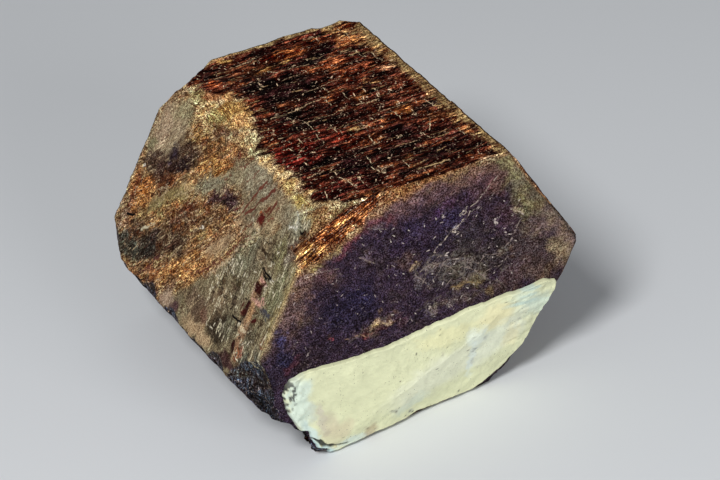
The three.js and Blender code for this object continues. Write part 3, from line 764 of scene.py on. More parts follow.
def top_rims(x, y):
    """1 on the top face's worn right edge, and 1 on its worn rim at the back end, which widens
    to a patch near the right one."""
    point = face_points(x, y)
    right = smooth(9.9, 11.0, x + 0.9 * rough_noise(point, 0.9, 213, 4, 0.7))
    patch = 1.4 * np.exp(-((x - 8.6) / 1.1) ** 2)
    back = smooth(0.75, 0.3, (BACK - y) / (1 + patch) + 0.4 * rough_noise(point, 1.3, 217, 4, 0.7))
    return right, back


# Patches on the broken edge beside the top face, seen from above
BEVEL_MARKS = (
    (-7.2, 10.8, 1.7, 1.5, 0, 132, 80, 50, 0.9), (-6.4, 12.4, 1.3, 0.9, 0, 120, 72, 46, 0.9),
    (-8.8, 11.4, 1, 1.4, 0, 158, 142, 100, 0.8), (-7, 7, 1.2, 1.9, 15, 144, 104, 54, 0.9),
    (-8.5, 7.6, 0.6, 1.5, 10, 130, 110, 68, 0.9), (-6.4, 9, 0.9, 0.8, 0, 186, 138, 90, 0.8),
    (-7.6, 4.2, 1.2, 1, 0, 176, 128, 80, 0.8), (-9.4, 5, 0.7, 1.7, -15, 84, 52, 38, 0.9),
    (-8.4, 3.2, 0.5, 0.9, 0, 92, 56, 40, 0.8), (-8.3, 1.8, 1, 0.7, 0, 150, 110, 74, 0.8),
    (-7.6, 0.2, 1, 1.4, 0, 166, 150, 112, 0.8), (-8.2, -2.2, 0.9, 1.5, 0, 154, 140, 102, 0.85),
    (-9.3, -0.6, 0.5, 1, 0, 118, 88, 66, 0.8), (-8.8, -5.4, 0.8, 1.3, 0, 184, 152, 108, 0.8),
    (-9.4, -7.4, 0.6, 1, 0, 148, 132, 92, 0.8), (-8.6, -8.8, 0.9, 1, 0, 168, 136, 84, 0.8),
    (-9.4, -11.4, 1, 1.7, 0, 160, 132, 74, 0.9), (-8.4, -13.2, 0.9, 0.8, 0, 168, 140, 96, 0.8),
    (-8.6, -15.4, 1.5, 1, 0, 134, 92, 56, 0.9),
)


def plain_colour(along, y, face, steps):
    """The same dark red-brown stretches at random, for the long faces turned away."""
    point = face_points(along / 2.2 + 9 * face, y)
    warm, deep = rough_noise(point, 2.4, 261, 3, 0.6), rough_noise(point, 1.7, 263, 3, 0.6)
    base = plain(y.shape, 76, 38, 28)
    base = mix(base, linear(132, 76, 42), smooth(0.15, 1.0, warm))
    base = mix(base, linear(26, 14, 15), smooth(0.05, 0.9, deep) * 0.9)
    base = mix(base, linear(96, 36, 26), smooth(0.2, 1.0, -warm) * 0.7)
    # painted shade: darker on the sunken fine steps
    return base * (0.8 - 0.45 * steps)[..., None]


def slanted(along, y):
    """Across the slanting growth on the left face: under 3 in front of it, over 3 in it."""
    point = face_points(along, y)
    return y + SLANT * along + 0.45 * rough_noise(point, 2.2, 111, 4, 0.6)


def turned_to_growth(along, y):
    """Left-face places as lengths along the slanting growth and across it."""
    return (along - SLANT * y) / SLANT_LENGTH, (SLANT * along + y) / SLANT_LENGTH


# Thin lines on the left face: two along the growth, then short ones at random
LEFT_MARKS = [
    (wandering(((5.4, -0.8), (7.2, -2.6), (9, -4.2), (10.6, -5.2), (12.6, -6.5)), 501, 0.14),
     0.15, (100, 54, 44), 0.94),
    (wandering(((6.4, -2.6), (8.4, -4.4), (10.4, -5.8), (12.4, -7), (13.8, -7.9)), 502, 0.2),
     0.1, (214, 190, 156), 0.7),
    (wandering(((7.6, -1.6), (9.8, -3.4), (12.2, -5.2)), 503, 0.15), 0.07, (206, 176, 136), 0.6),
    (wandering(((0.6, 8.8), (1.8, 7.7), (3.6, 6.8)), 504), 0.2, (84, 36, 46), 0.8),
    (wandering(((1.2, 8), (2.6, 7.6), (3.8, 6.6)), 505), 0.09, (132, 70, 62), 0.7),
    (wandering(((14.2, -3.9), (16.2, -4.6), (18, -5.5)), 506, 0.1, 0.4), 0.16, (104, 52, 40), 0.97),
    (wandering(((14, -4.7), (16.2, -6.1), (18.3, -7.5)), 507, 0.1, 0.4), 0.17, (100, 50, 40), 0.97),
    (wandering(((15.2, -5.6), (16.4, -6.6), (17.6, -7)), 508, 0.06, 0.4), 0.15, (120, 62, 46), 0.965),
    (wandering(((14.6, -7.6), (15.9, -8.2), (17.4, -8.8)), 529, 0.1, 0.4), 0.17, (94, 44, 34), 0.97),
    (wandering(((14.4, -7), (14.9, -7.4), (15.5, -7.7)), 530, 0.08, 0.3), 0.19, (84, 28, 24), 0.97),
    (wandering(((15.4, -6.9), (16.4, -7.4)), 531, 0.06, 0.3), 0.12, (168, 96, 60), 0.95),
    (wandering(((12.1, -5.8), (13.2, -6.6), (14.2, -7.4)), 532, 0.08, 0.4), 0.11, (214, 184, 150), 0.9),
    (wandering(((14, -6.4), (13, -5.6), (11.6, -4.9)), 533, 0.08, 0.4), 0.08, (134, 76, 54), 0.9),
    (wandering(((17.2, -0.6), (18.4, -2)), 509), 0.18, (100, 34, 30), 0.8),
    (wandering(((15.8, -7.4), (16.6, -8.2), (17.2, -8.6)), 510), 0.16, (98, 38, 28), 0.8),
    (((4.45, 14.6), (4.8, 13.5)), 0.13, (14, 10, 10), 1),
    (((5.2, -9.4), (5.2, -11)), 0.08, (40, 26, 22), 1),
    (((12.7, -9.4), (12.8, -10.8)), 0.12, (48, 30, 24), 0.9),
    (((10.9, -11.4), (11, -12.7)), 0.08, (20, 14, 14), 1),
    (((11.3, -10.9), (11.2, -11.9)), 0.08, (24, 16, 16), 1),
    (((8.1, -11.2), (8.6, -13.2)), 0.12, (198, 152, 134), 0.84),
    (((8.5, -11.4), (8.9, -12.8)), 0.06, (236, 220, 200), 0.8),
    (((4.7, -11.2), (5, -12)), 0.16, (220, 200, 172), 0.8),
    (((11, -12.9), (11.4, -13.4)), 0.08, (232, 224, 204), 0.8),
    (wandering(((7.4, -13.4), (12.4, -13.5)), 511, 0.06), 0.06, (186, 178, 146), 0.8),
    (wandering(((1.4, -15.6), (1.8, -14.9), (2.8, -14.5), (5, -14.7), (8, -15)), 512, 0.06),
     0.09, (176, 162, 128), 0.8),
    (wandering(((8, -15), (12.6, -15.2), (14, -15)), 513, 0.05), 0.05, (160, 150, 120), 0.6),
    (((16.6, -12.4), (16.9, -12.9)), 0.1, (236, 230, 214), 0.9),
    (((17.2, -12.8), (17.4, -13.3)), 0.08, (226, 216, 196), 0.9),
    (((9.6, 15.4), (9.9, 15)), 0.16, (240, 232, 216), 0.9),
    (wandering(((4.4, 11.2), (5.2, 10.4), (5.8, 9.5)), 514, 0.12), 0.2, (214, 202, 170), 0.8),
    (((9, 2.2), (9.3, 1.7)), 0.2, (236, 226, 204), 0.9),
    (((11.4, -11.1), (11.2, -12.6)), 0.1, (14, 10, 10), 1),
    (((10.7, -12), (11.1, -12.9)), 0.09, (18, 12, 12), 1),
    (((8.6, -12), (8.4, -13.4)), 0.09, (20, 14, 14), 1),
    (((5.2, -9.3), (5.25, -11.1)), 0.1, (16, 10, 10), 1),
    (((11.2, -15.2), (11.7, -15.1)), 0.1, (36, 24, 18), 0.95),
    (((17.1, -14.3), (16.9, -15.1)), 0.17, (18, 12, 12), 1),
    (wandering(((10, -11.5), (9.6, -12.1), (8.9, -12.3)), 521, 0.08, 0.3), 0.19, (62, 20, 18), 0.95),
    (wandering(((9.9, -11), (9.1, -11.5)), 522, 0.08, 0.3), 0.17, (48, 16, 14), 0.94),
    (wandering(((7.6, -11.1), (6.9, -10.8), (6.2, -10.5)), 523, 0.1, 0.3), 0.19, (54, 22, 18), 0.95),
    (wandering(((7.2, -10.4), (6.4, -10.1)), 524, 0.1, 0.3), 0.16, (74, 34, 28), 0.95),
    (wandering(((3.4, -11), (2.2, -11.4)), 525, 0.08, 0.3), 0.19, (50, 18, 16), 0.94),
    (((6.3, -12.6), (6.8, -13.1)), 0.18, (66, 24, 20), 1),
    (((8.1, -13.6), (7.9, -14.8)), 0.19, (70, 70, 78), 0.86),
    (((7.6, -13.9), (7.4, -14.7)), 0.16, (62, 62, 70), 0.84),
    (((8.9, -11.7), (8.95, -13)), 0.14, (200, 152, 138), 0.88),
    (((10.3, -11.2), (10.2, -12.1)), 0.11, (232, 200, 184), 0.95),
    (((9.4, -10.8), (8.6, -10.9)), 0.1, (226, 196, 172), 0.9),
    (((4.8, -11.3), (5, -12.2)), 0.18, (214, 196, 164), 0.88),
    (wandering(((7.8, -11.8), (7, -12), (6.2, -11.9)), 526, 0.12, 0.3), 0.12, (196, 152, 108), 0.8),
    (wandering(((13.1, -9.3), (12.6, -10.1), (12.9, -11.1)), 527, 0.12, 0.3), 0.14, (48, 36, 24), 0.95),
    (wandering(((14.2, -11.2), (13.6, -10.6)), 528, 0.1, 0.3), 0.1, (54, 40, 26), 0.9),
    *scattered(80, (2, 14.5), (-16, -4), 0, 5, (0.15, 1.8), 71, (0.07, (222, 210, 176), 0.9)),
    *scattered(24, (14.5, 19.4), (-16.2, -12.4), 0, 5, (0.15, 1.4), 97, (0.07, (222, 210, 176), 0.9)),
    *scattered(12, (16.4, 18.4), (-13.8, -12.2), 20, 60, (0.08, 0.3), 99, (0.07, (206, 204, 186), 0.85)),
    *scattered(56, (1.6, 14.5), (-16, -5), 0, 5, (0.3, 2), 73, (0.065, (66, 58, 44), 0.9)),
    *scattered(50, (5.2, 9), (-9.4, -4.6), -60, 60, (0.08, 0.3), 85, (0.085, (44, 34, 26), 0.9)),
    *scattered(34, (12, 14.8), (-12.4, -8.6), -60, 60, (0.1, 0.4), 87, (0.085, (48, 38, 28), 0.9)),
    *scattered(34, (13.6, 17.6), (-15, -11.6), -60, 60, (0.1, 0.35), 89, (0.08, (52, 42, 34), 0.9)),
    *scattered(32, (2.4, 8), (-14.6, -8), -60, 60, (0.1, 0.4), 91, (0.085, (44, 34, 28), 0.9)),
    # painted highlights: pale short lines along the growth
    *scattered(170, (1, 17.5), (-5, 15), -42, 12, (0.2, 1.4), 75, (0.06, (216, 190, 150), 0.6)),
    *scattered(130, (1, 16.5), (-5, 15), -42, 12, (0.2, 1.5), 77, (0.06, (70, 40, 30), 0.7)),
    *scattered(30, (12, 19), (-9, 1), -40, 8, (0.4, 1.6), 79, (0.08, (112, 50, 38), 0.7)),
    *scattered(70, (2, 18), (-15, -3.4), -90, 60, (0.1, 0.4), 81, (0.075, (50, 36, 26), 0.85)),
    # painted glints: small white specks
    *scattered(80, (2, 14.6), (-15.8, -2), -60, 90, (0.05, 0.35), 83, (0.07, (234, 222, 194), 0.9)),
]
# Smooth places on the left face, where the grain is fine: middle, half sizes, turn, strength
SMOOTH_PLACES = (
    (15.2, 12.8, 3.6, 3.4, -30, 1), (9.4, 8.6, 5.6, 0.9, -45, 1), (0.9, 2.2, 1.2, 1.6, 0, 1),
    (0.9, -4.8, 1, 3.4, 3, 1), (17.4, -4.6, 2.2, 4.4, 0, 1), (14.6, -5.4, 2.4, 3, -35, 1),
    (9.4, -2.6, 3.4, 1, -40, 1), (17.5, -10.4, 1.9, 3.8, 0, 1),
    (15.2, -9, 2.4, 1.8, 0, 1), (13.6, 14.4, 3.4, 1.6, -20, 1),
    (14.4, 1.8, 3, 1.2, -52, 1), (16.6, -1.2, 2.4, 1.4, -50, 1),
)


# Stains on the left face, along it and in y: the broad ones first, then stretches over the
# strands, olive-grey and tan places over them, and small details on top
LEFT_GROUND = (
    (11, -3.4, 5, 1.4, -40, 152, 128, 102, 0.8), (15.6, -4.6, 2.8, 3.6, -30, 136, 122, 100, 0.9),
    (17.8, -4.8, 1.8, 4.6, 0, 144, 134, 114, 0.95), (17.6, -9.8, 1.8, 2.6, 0, 146, 130, 106, 0.95),
    (19, -13.6, 0.9, 2.6, 0, 182, 158, 108, 0.8), (15, 12.6, 4.4, 3.4, -40, 172, 154, 128, 0.95),
    (14, 14.6, 3.4, 1.2, -15, 176, 152, 128, 0.8), (17.6, 11.4, 1.3, 2.8, 12, 156, 146, 114, 0.8),
    (12, 15.2, 1.2, 0.9, -20, 146, 142, 110, 0.8), (10.2, 10.4, 2.1, 1.7, -30, 92, 58, 36, 0.9),
    (11.4, 10.1, 0.7, 0.6, 0, 92, 28, 30, 0.7), (8.4, 11.4, 0.9, 0.8, 0, 156, 138, 108, 0.7),
    (7.4, 13.2, 2.4, 1.6, -20, 172, 112, 58, 0.95), (6.4, 15, 2, 0.8, 8, 128, 60, 34, 0.95),
    (5.4, 12.2, 1.2, 1.6, -30, 150, 118, 76, 0.8), (3.4, 15, 1.3, 1, 0, 152, 128, 110, 0.8),
    (1.9, 13, 1.3, 3.2, -4, 72, 70, 66, 0.9), (3.4, 11, 1.9, 2.6, -15, 82, 78, 66, 0.85),
    (9, 8.6, 5.2, 1, -47, 142, 126, 86, 0.95), (7, 9.2, 1, 1.2, -30, 118, 116, 84, 0.7),
    (12.4, 5.6, 2.2, 0.7, -50, 184, 154, 112, 0.85), (8.8, 5.2, 2.9, 1.9, -35, 102, 66, 42, 0.85),
    (9.8, 5.2, 0.9, 0.7, -30, 92, 36, 28, 0.7), (2.6, 4.6, 4.8, 1.1, -58, 176, 130, 84, 0.95),
    (5.2, 1.4, 2.6, 1.3, -30, 176, 126, 76, 0.9), (1.9, 6.6, 1.8, 0.6, -60, 168, 112, 78, 0.8),
    (9, 0.8, 1.9, 1.2, -20, 150, 124, 84, 0.8), (10.6, 2.2, 1.9, 1, -40, 122, 84, 54, 0.8),
    (13.6, 3.6, 2.6, 1.1, -58, 142, 136, 114, 0.85), (14.8, 0.6, 2.2, 1, -50, 134, 128, 108, 0.85),
    (15.2, 3.6, 2.8, 1.3, -58, 178, 134, 78, 0.9), (16.8, 8, 2.2, 1.5, -50, 172, 134, 82, 0.9),
    (16.6, 6.6, 1.2, 0.4, -30, 88, 38, 30, 0.85), (17.6, 5, 1.2, 0.9, -20, 92, 78, 48, 0.8),
    (17.8, 0.8, 0.9, 1.2, -40, 98, 50, 40, 0.8), (16.4, -0.6, 1.8, 1.3, -30, 158, 134, 100, 0.7),
    (0.9, 2.3, 1.2, 1.3, 0, 166, 142, 124, 0.9), (0.6, 0.5, 1.2, 0.7, -40, 78, 48, 60, 0.85),
    (0.5, 5.9, 0.6, 2.2, 0, 44, 30, 40, 0.9), (13.8, -3.2, 1, 0.6, -20, 196, 178, 146, 0.85),
    (9.2, -1.8, 2.8, 1.2, -38, 164, 136, 106, 0.8), (1, -4.8, 0.95, 3.4, 3, 178, 150, 118, 0.9),
    (3, -3.2, 1.6, 2.2, 0, 98, 78, 64, 0.85), (3.2, -7.9, 1.5, 1.5, 0, 78, 70, 58, 0.85),
    (2.6, -5, 0.8, 0.8, 0, 112, 76, 66, 0.6), (10.6, -7.4, 2.8, 1.8, -25, 122, 116, 98, 0.8),
    (17.4, -12, 1.8, 1.8, 0, 134, 126, 106, 0.75), (14.8, -9.2, 2, 1.6, 0, 142, 126, 102, 0.7),
    (11.4, -14.4, 3.6, 1.2, 0, 118, 112, 86, 0.8), (14.6, -14.4, 1.2, 0.9, -20, 96, 84, 74, 0.7),
    (9.6, -15.9, 5.6, 0.45, 0, 150, 136, 98, 0.8), (2.3, -13.6, 1.5, 0.7, 0, 66, 78, 76, 0.85),
    (0.8, -11, 0.9, 2.6, 12, 62, 38, 40, 0.95), (0.9, -15.2, 1.1, 1.6, 10, 40, 34, 50, 0.95),
    (2, -14.4, 1.4, 1.4, 0, 60, 54, 50, 0.8), (3.4, -8, 2, 1.9, 0, 64, 54, 42, 0.9),
    (3.8, -12.4, 2.6, 0.8, 0, 96, 78, 64, 0.7), (3.2, -15.8, 1.8, 0.9, 0, 92, 92, 84, 0.9),
    (2.2, -16.4, 1.4, 0.6, 0, 58, 60, 70, 0.9), (5.6, -15.5, 0.5, 0.3, 20, 124, 62, 38, 0.8),
    (17.4, -16, 1.6, 0.5, -10, 104, 50, 32, 0.85),
)
LEFT_STRETCHES = (
    (11, 13.4, 2.6, 1.2, -58, 70, 54, 52, 0.85), (13.6, 8.8, 3.4, 1.4, -58, 60, 42, 38, 0.88),
    (10.6, 11.8, 1.7, 0.9, -45, 62, 42, 44, 0.85), (14.4, 2.2, 2.8, 0.9, -52, 140, 134, 114, 0.8),
    (16.6, -1, 2, 1.1, -50, 142, 132, 108, 0.8), (13, 11.2, 1.5, 1, -30, 44, 34, 50, 0.9),
    (12.9, 8.6, 1.8, 0.8, -60, 42, 28, 34, 0.85), (4.6, 7.8, 4.2, 1.5, -48, 62, 44, 38, 0.85),
    (3.6, 9.2, 2, 1, -40, 48, 40, 44, 0.8), (6.2, 4.2, 1.2, 1.8, -20, 58, 44, 38, 0.8),
    (13, 0.9, 2.4, 0.9, -50, 54, 32, 44, 0.9), (13.9, -1.3, 1.5, 0.9, -50, 46, 26, 42, 0.92),
    (12.3, -3.2, 1.7, 0.7, -45, 172, 144, 112, 0.8), (17.8, 1.6, 1, 0.9, -40, 176, 132, 90, 0.8),
    (15.3, 10.2, 1.5, 0.8, -50, 98, 76, 54, 0.7), (11.4, -0.2, 1.2, 0.8, -45, 92, 64, 46, 0.8),
    (12.6, 12, 1.2, 0.8, -50, 82, 66, 56, 0.7), (11.2, 10.6, 0.8, 0.6, -50, 98, 70, 50, 0.7),
    (5.4, 5.4, 1.6, 1, -40, 66, 44, 36, 0.8), (5.8, -0.8, 3.2, 1.2, -45, 188, 144, 98, 0.8),
    (7.7, -3.2, 1.6, 0.8, -40, 182, 148, 112, 0.8), (3.1, -7.8, 1.2, 1.5, 0, 64, 54, 42, 0.9),
    (9.8, 4.6, 1.6, 1, -40, 86, 48, 34, 0.7), (10.4, 10.2, 1.6, 1, -40, 84, 48, 32, 0.7),
    (1.5, 12.4, 1.3, 3, -4, 58, 62, 58, 0.85), (3, 9.6, 1.6, 1.4, -15, 52, 52, 48, 0.7),
)
LEFT_OLIVE_PLACES = (
    (11.4, -7.2, 3, 1.5, 0, 122, 120, 98, 0.7), (9.8, -9.6, 3.4, 1, 5, 124, 116, 96, 0.7),
    (11.4, -7, 1.3, 0.9, 0, 146, 134, 108, 0.7), (14.8, -14.2, 1.8, 1.2, 0, 128, 114, 104, 0.75),
    (13.6, -12.6, 1.8, 0.9, 10, 122, 116, 84, 0.7), (10.4, -14.6, 3.2, 1.1, 0, 126, 124, 96, 0.75),
    (5, -6.2, 1.8, 1.6, 0, 138, 118, 94, 0.7), (6.6, -8.8, 1.8, 1.2, 0, 126, 114, 94, 0.7),
    (2.9, -7.5, 1.4, 1.2, 0, 58, 48, 38, 0.85), (4, -9.6, 1.4, 1, 0, 112, 108, 90, 0.7),
    (15.4, -9.2, 2.2, 1.3, 20, 162, 142, 112, 0.75), (12.9, -9.7, 1.4, 1.2, 0, 148, 130, 104, 0.7),
    (4.4, -13.4, 1.8, 0.9, 0, 102, 96, 80, 0.7), (12.6, -15.4, 2.6, 0.5, 0, 146, 134, 104, 0.7),
    (17.8, -13.6, 1.2, 1.2, 0, 138, 136, 116, 0.7),
)
LEFT_DETAILS = (
    (6.6, -11.6, 5.2, 0.8, 3, 172, 134, 104, 0.7), (2.8, -11.2, 0.95, 0.4, 5, 44, 14, 14, 1),
    (2.7, -12.3, 0.9, 0.4, 0, 150, 92, 62, 0.95), (3.2, -12.9, 0.7, 0.25, 0, 182, 124, 104, 0.9),
    (2.3, -12.2, 0.4, 0.14, 0, 80, 36, 26, 0.8), (6.9, -10.9, 1.1, 0.36, -10, 46, 16, 16, 1),
    (6.2, -10.6, 0.4, 0.2, 0, 90, 40, 34, 0.9), (5, -11.5, 0.4, 0.5, 0, 222, 200, 164, 0.9),
    (7, -11.7, 1.2, 0.32, 0, 190, 150, 108, 0.7), (6.4, -12.8, 0.22, 0.35, 0, 74, 26, 22, 0.95),
    (8.3, -12.3, 0.35, 0.9, -10, 206, 158, 142, 0.9), (7.9, -13.8, 0.35, 0.9, -10, 84, 82, 84, 0.85),
    (9.4, -11.2, 0.6, 0.36, 0, 52, 14, 14, 1), (9.7, -12, 0.7, 0.3, 0, 44, 12, 12, 1),
    (10.4, -11.5, 0.35, 0.4, 0, 216, 164, 150, 0.95), (11.1, -11.5, 0.16, 0.5, 0, 20, 12, 14, 1),
    (11.1, -12.7, 0.14, 0.4, 0, 24, 14, 14, 1), (12.8, -10, 0.22, 0.8, 0, 56, 36, 28, 0.9),
    (7, -5.7, 0.4, 0.35, 0, 72, 52, 34, 0.85), (7.6, -5, 0.4, 0.25, 0, 70, 48, 36, 0.8),
    (5.3, -4.8, 0.2, 0.5, 0, 60, 40, 32, 0.8), (8.1, -8.3, 0.5, 0.5, 0, 64, 52, 30, 0.85),
    (8.1, -6.8, 0.2, 0.6, 0, 70, 56, 36, 0.8), (6.4, -8.6, 0.5, 0.6, 0, 88, 72, 58, 0.7),
    (17, -14.8, 0.38, 0.35, 0, 34, 22, 18, 0.95), (15, -7.4, 0.7, 0.6, -20, 96, 34, 26, 0.95),
    (14.1, -7.2, 0.5, 0.7, 20, 206, 178, 142, 0.8), (16.4, -8, 0.6, 0.3, -35, 92, 40, 28, 0.85),
    (15.3, -13.6, 0.3, 0.7, 10, 88, 74, 70, 0.7),
)


def left_colour(along, y, steps):
    """Olive-grey in front of the slanting growth, and stretches of brown, gold, grey and purple
    in it."""
    slant = slanted(along, y)
    base = plain(y.shape, 128, 116, 92)
    base = mix(base, linear(142, 114, 82), smooth(2.8, 3.6, slant))
    base = spots(base, along, y, LEFT_GROUND)
    lengthwise, across = turned_to_growth(along, y)
    strand = face_points(lengthwise / 3.2, across)
    pale, warm = rough_noise(strand, 0.62, 281, 4, 0.8), rough_noise(strand, 1.1, 283, 5, 0.8)
    growth = smooth(2.6, 3.4, slant) * (1 - 0.85 * spot_weight(along, y, SMOOTH_PLACES))
    for strength, value, colour in ((0.35, pale, (186, 166, 122)), (0.4, -pale, (82, 40, 34)),
                                    (0.3, warm, (186, 116, 62)), (0.3, -warm, (104, 96, 90))):
        base = mix(base, linear(*colour), strength * growth * smooth(0.1, 0.9, value))
    base = spots(base, along, y, LEFT_STRETCHES)
    level = face_points(along / 4, y)
    striped = rough_noise(level, 0.5, 285, 4, 0.8)
    base = spots(base, along, y, LEFT_OLIVE_PLACES, sway=0.4, soft=0.7)
    base = mottle(base, striped * (1 - growth), (0.82, 0.79, 0.74), (1.17, 1.17, 1.17))
    base = spots(base, along, y, LEFT_DETAILS, sway=0.1, soft=0.4)
    pit = left_pits(along, y)
    base = mix(base, linear(58, 30, 28), 0.6 * smooth(0.05, 0.25, pit))
    base = mix(base, base * (1.0, 1.04, 1.1), 1 - growth)
    worn = smooth(0.6, 0.15, BACK - y + 0.3 * rough_noise(level, 0.8, 287, 3, 0.7))
    worn = worn * smooth(2, 5, along)
    base = mix(base, linear(196, 182, 154), 0.55 * worn)
    # painted shade: a little darker on the sunken fine steps
    return base * (0.88 - 0.08 * steps)[..., None] * (1.05, 1.03, 0.93)


def spot_weight(u, v, places):
    """1 in these places and 0 elsewhere, with the stains' ragged rims: middle, half sizes, turn
    and strength."""
    marks = [(*place, 255, 255, 255, strength) for *place, strength in places]
    return spots(np.zeros((*u.shape, 3)), u, v, marks)[..., 0]


# Stains on the front end, as x, z: soft clouds, then smaller patches
FRONT_CLOUDS = (
    (-11.6, 7, 1.9, 1, 25, 118, 92, 86, 0.8), (-12.2, 5.4, 2, 0.6, 12, 106, 80, 72, 0.75),
    (-9.6, 6.6, 1.8, 1, 10, 80, 56, 62, 0.7), (-8.8, 8.6, 1.4, 0.7, 20, 90, 62, 66, 0.6),
    (-7.6, 10.3, 2, 0.7, 30, 152, 128, 90, 0.9), (-9.7, 8.5, 1.7, 0.7, 47, 142, 120, 84, 0.9),
    (-5.8, 10.8, 1.4, 0.6, 20, 140, 112, 78, 0.85), (-6.2, 9.2, 2, 0.7, 25, 100, 54, 60, 0.75),
    (-3.4, 10.2, 1.7, 0.6, 8, 92, 50, 56, 0.7), (-13, 3.4, 1.4, 1, 40, 96, 74, 70, 0.7),
    (-14.3, 1.1, 0.9, 1, 0, 56, 52, 84, 0.85), (-14.4, -0.6, 1.2, 0.8, 0, 40, 36, 56, 0.8),
    (-7, 2.2, 4, 2.4, 0, 34, 28, 44, 0.85), (-1, 8, 3.4, 2.2, 0, 46, 34, 52, 0.7),
    (0.4, 8.4, 1.6, 1, 20, 48, 38, 58, 0.5), (-5, 3.4, 1.2, 1, 0, 42, 36, 62, 0.5),
    (4.6, 8, 1.6, 1.2, 0, 46, 38, 62, 0.6), (4.2, 10, 1.2, 0.8, 0, 66, 40, 76, 0.5),
    (7.4, 9.6, 2, 1.2, 20, 62, 42, 56, 0.6), (9.6, 10.4, 1.6, 1, 20, 96, 66, 70, 0.7),
    (10, 6.6, 2, 1.6, 0, 60, 40, 50, 0.7), (6.6, 5.6, 2.6, 1.4, 20, 50, 42, 50, 0.7),
    (3.6, 6.2, 1.2, 0.8, 20, 36, 30, 40, 0.6), (-0.4, 5, 1.4, 0.9, -20, 72, 54, 50, 0.7),
    (4, 3.4, 3, 1.3, -20, 66, 58, 62, 0.7), (2.6, 2.4, 1.8, 1.4, 0, 70, 62, 68, 0.6),
    (6.4, 1.8, 2, 1.2, -20, 74, 66, 62, 0.7), (8.6, 3, 2, 1.8, 0, 42, 34, 40, 0.75),
    (1, -1.2, 1.6, 0.7, 0, 40, 32, 42, 0.6), (12.4, 2.4, 2.2, 2.4, 0, 56, 44, 52, 0.75),
    (14.2, 4.4, 1.8, 1.5, -30, 98, 80, 76, 0.7), (14, 1.8, 1.8, 1.4, 20, 60, 46, 54, 0.75),
    (12.8, 7.8, 1.4, 2.4, 30, 104, 94, 76, 0.8), (12, -0.4, 3.4, 1.2, 0, 78, 60, 62, 0.7),
    (16.3, 0.8, 1.2, 1.5, 0, 128, 108, 96, 0.8), (15.2, -1.4, 1.8, 0.8, 20, 88, 68, 62, 0.7),
    (-4.6, -1, 2, 0.8, 5, 84, 62, 56, 0.75), (-1.6, -1.4, 1, 0.7, 0, 78, 52, 56, 0.6),
    (4.6, -1.2, 2.4, 0.7, 0, 76, 62, 60, 0.7), (6, 0.6, 1.4, 0.6, 5, 90, 76, 62, 0.7),
    (9.4, -1, 2, 0.6, 0, 58, 42, 44, 0.6), (-11, -1.6, 2.6, 1.2, 5, 38, 28, 34, 0.8),
    (-15.6, -2.6, 1.6, 1.8, 0, 36, 28, 38, 0.85), (-13.4, -1.6, 1.2, 0.5, 0, 78, 40, 48, 0.6),
)
FRONT_PATCHES = (
    (3.8, 3, 0.8, 0.6, -30, 92, 82, 82, 0.7), (2, 3.7, 1, 0.3, -10, 116, 102, 96, 0.8),
    (0.6, 4.4, 0.7, 0.4, 20, 122, 102, 84, 0.8), (0.6, 2.4, 0.5, 1, 10, 86, 76, 78, 0.7),
    (6.2, 2.9, 1, 0.4, -25, 86, 76, 74, 0.7), (7.4, 0.9, 0.8, 0.35, -50, 104, 90, 86, 0.7),
    (10, 2.8, 0.8, 0.4, 30, 90, 78, 78, 0.7), (5, 0.5, 0.9, 0.3, 10, 116, 96, 70, 0.6),
    (7, 0.2, 0.7, 0.25, 0, 108, 90, 68, 0.6), (-4.3, -0.4, 0.6, 0.35, 10, 176, 150, 122, 0.9),
    (-2.8, -1.1, 0.5, 0.3, -20, 160, 132, 108, 0.8), (-5.5, -1.5, 0.5, 0.4, 0, 92, 44, 42, 0.8),
    (-3.6, -1.4, 0.8, 0.25, 0, 66, 36, 40, 0.8), (3.9, -1.2, 0.5, 0.6, 0, 104, 90, 90, 0.7),
    (2, -1.3, 0.5, 0.6, 0, 104, 90, 88, 0.7), (8, -1.2, 0.5, 0.6, -20, 104, 84, 66, 0.6),
    (-4.6, 6.9, 0.9, 0.5, 40, 80, 66, 76, 0.6), (-10.2, 7.2, 1, 0.25, 0, 140, 118, 114, 0.6),
    (-3.2, 9.9, 0.6, 0.3, 0, 112, 96, 100, 0.6), (5, 7, 0.4, 0.3, 30, 130, 118, 122, 0.6),
    (11.8, 6.7, 0.8, 0.3, -30, 140, 122, 108, 0.7), (-5.8, 9.9, 1.2, 0.4, 30, 120, 78, 78, 0.6),
)


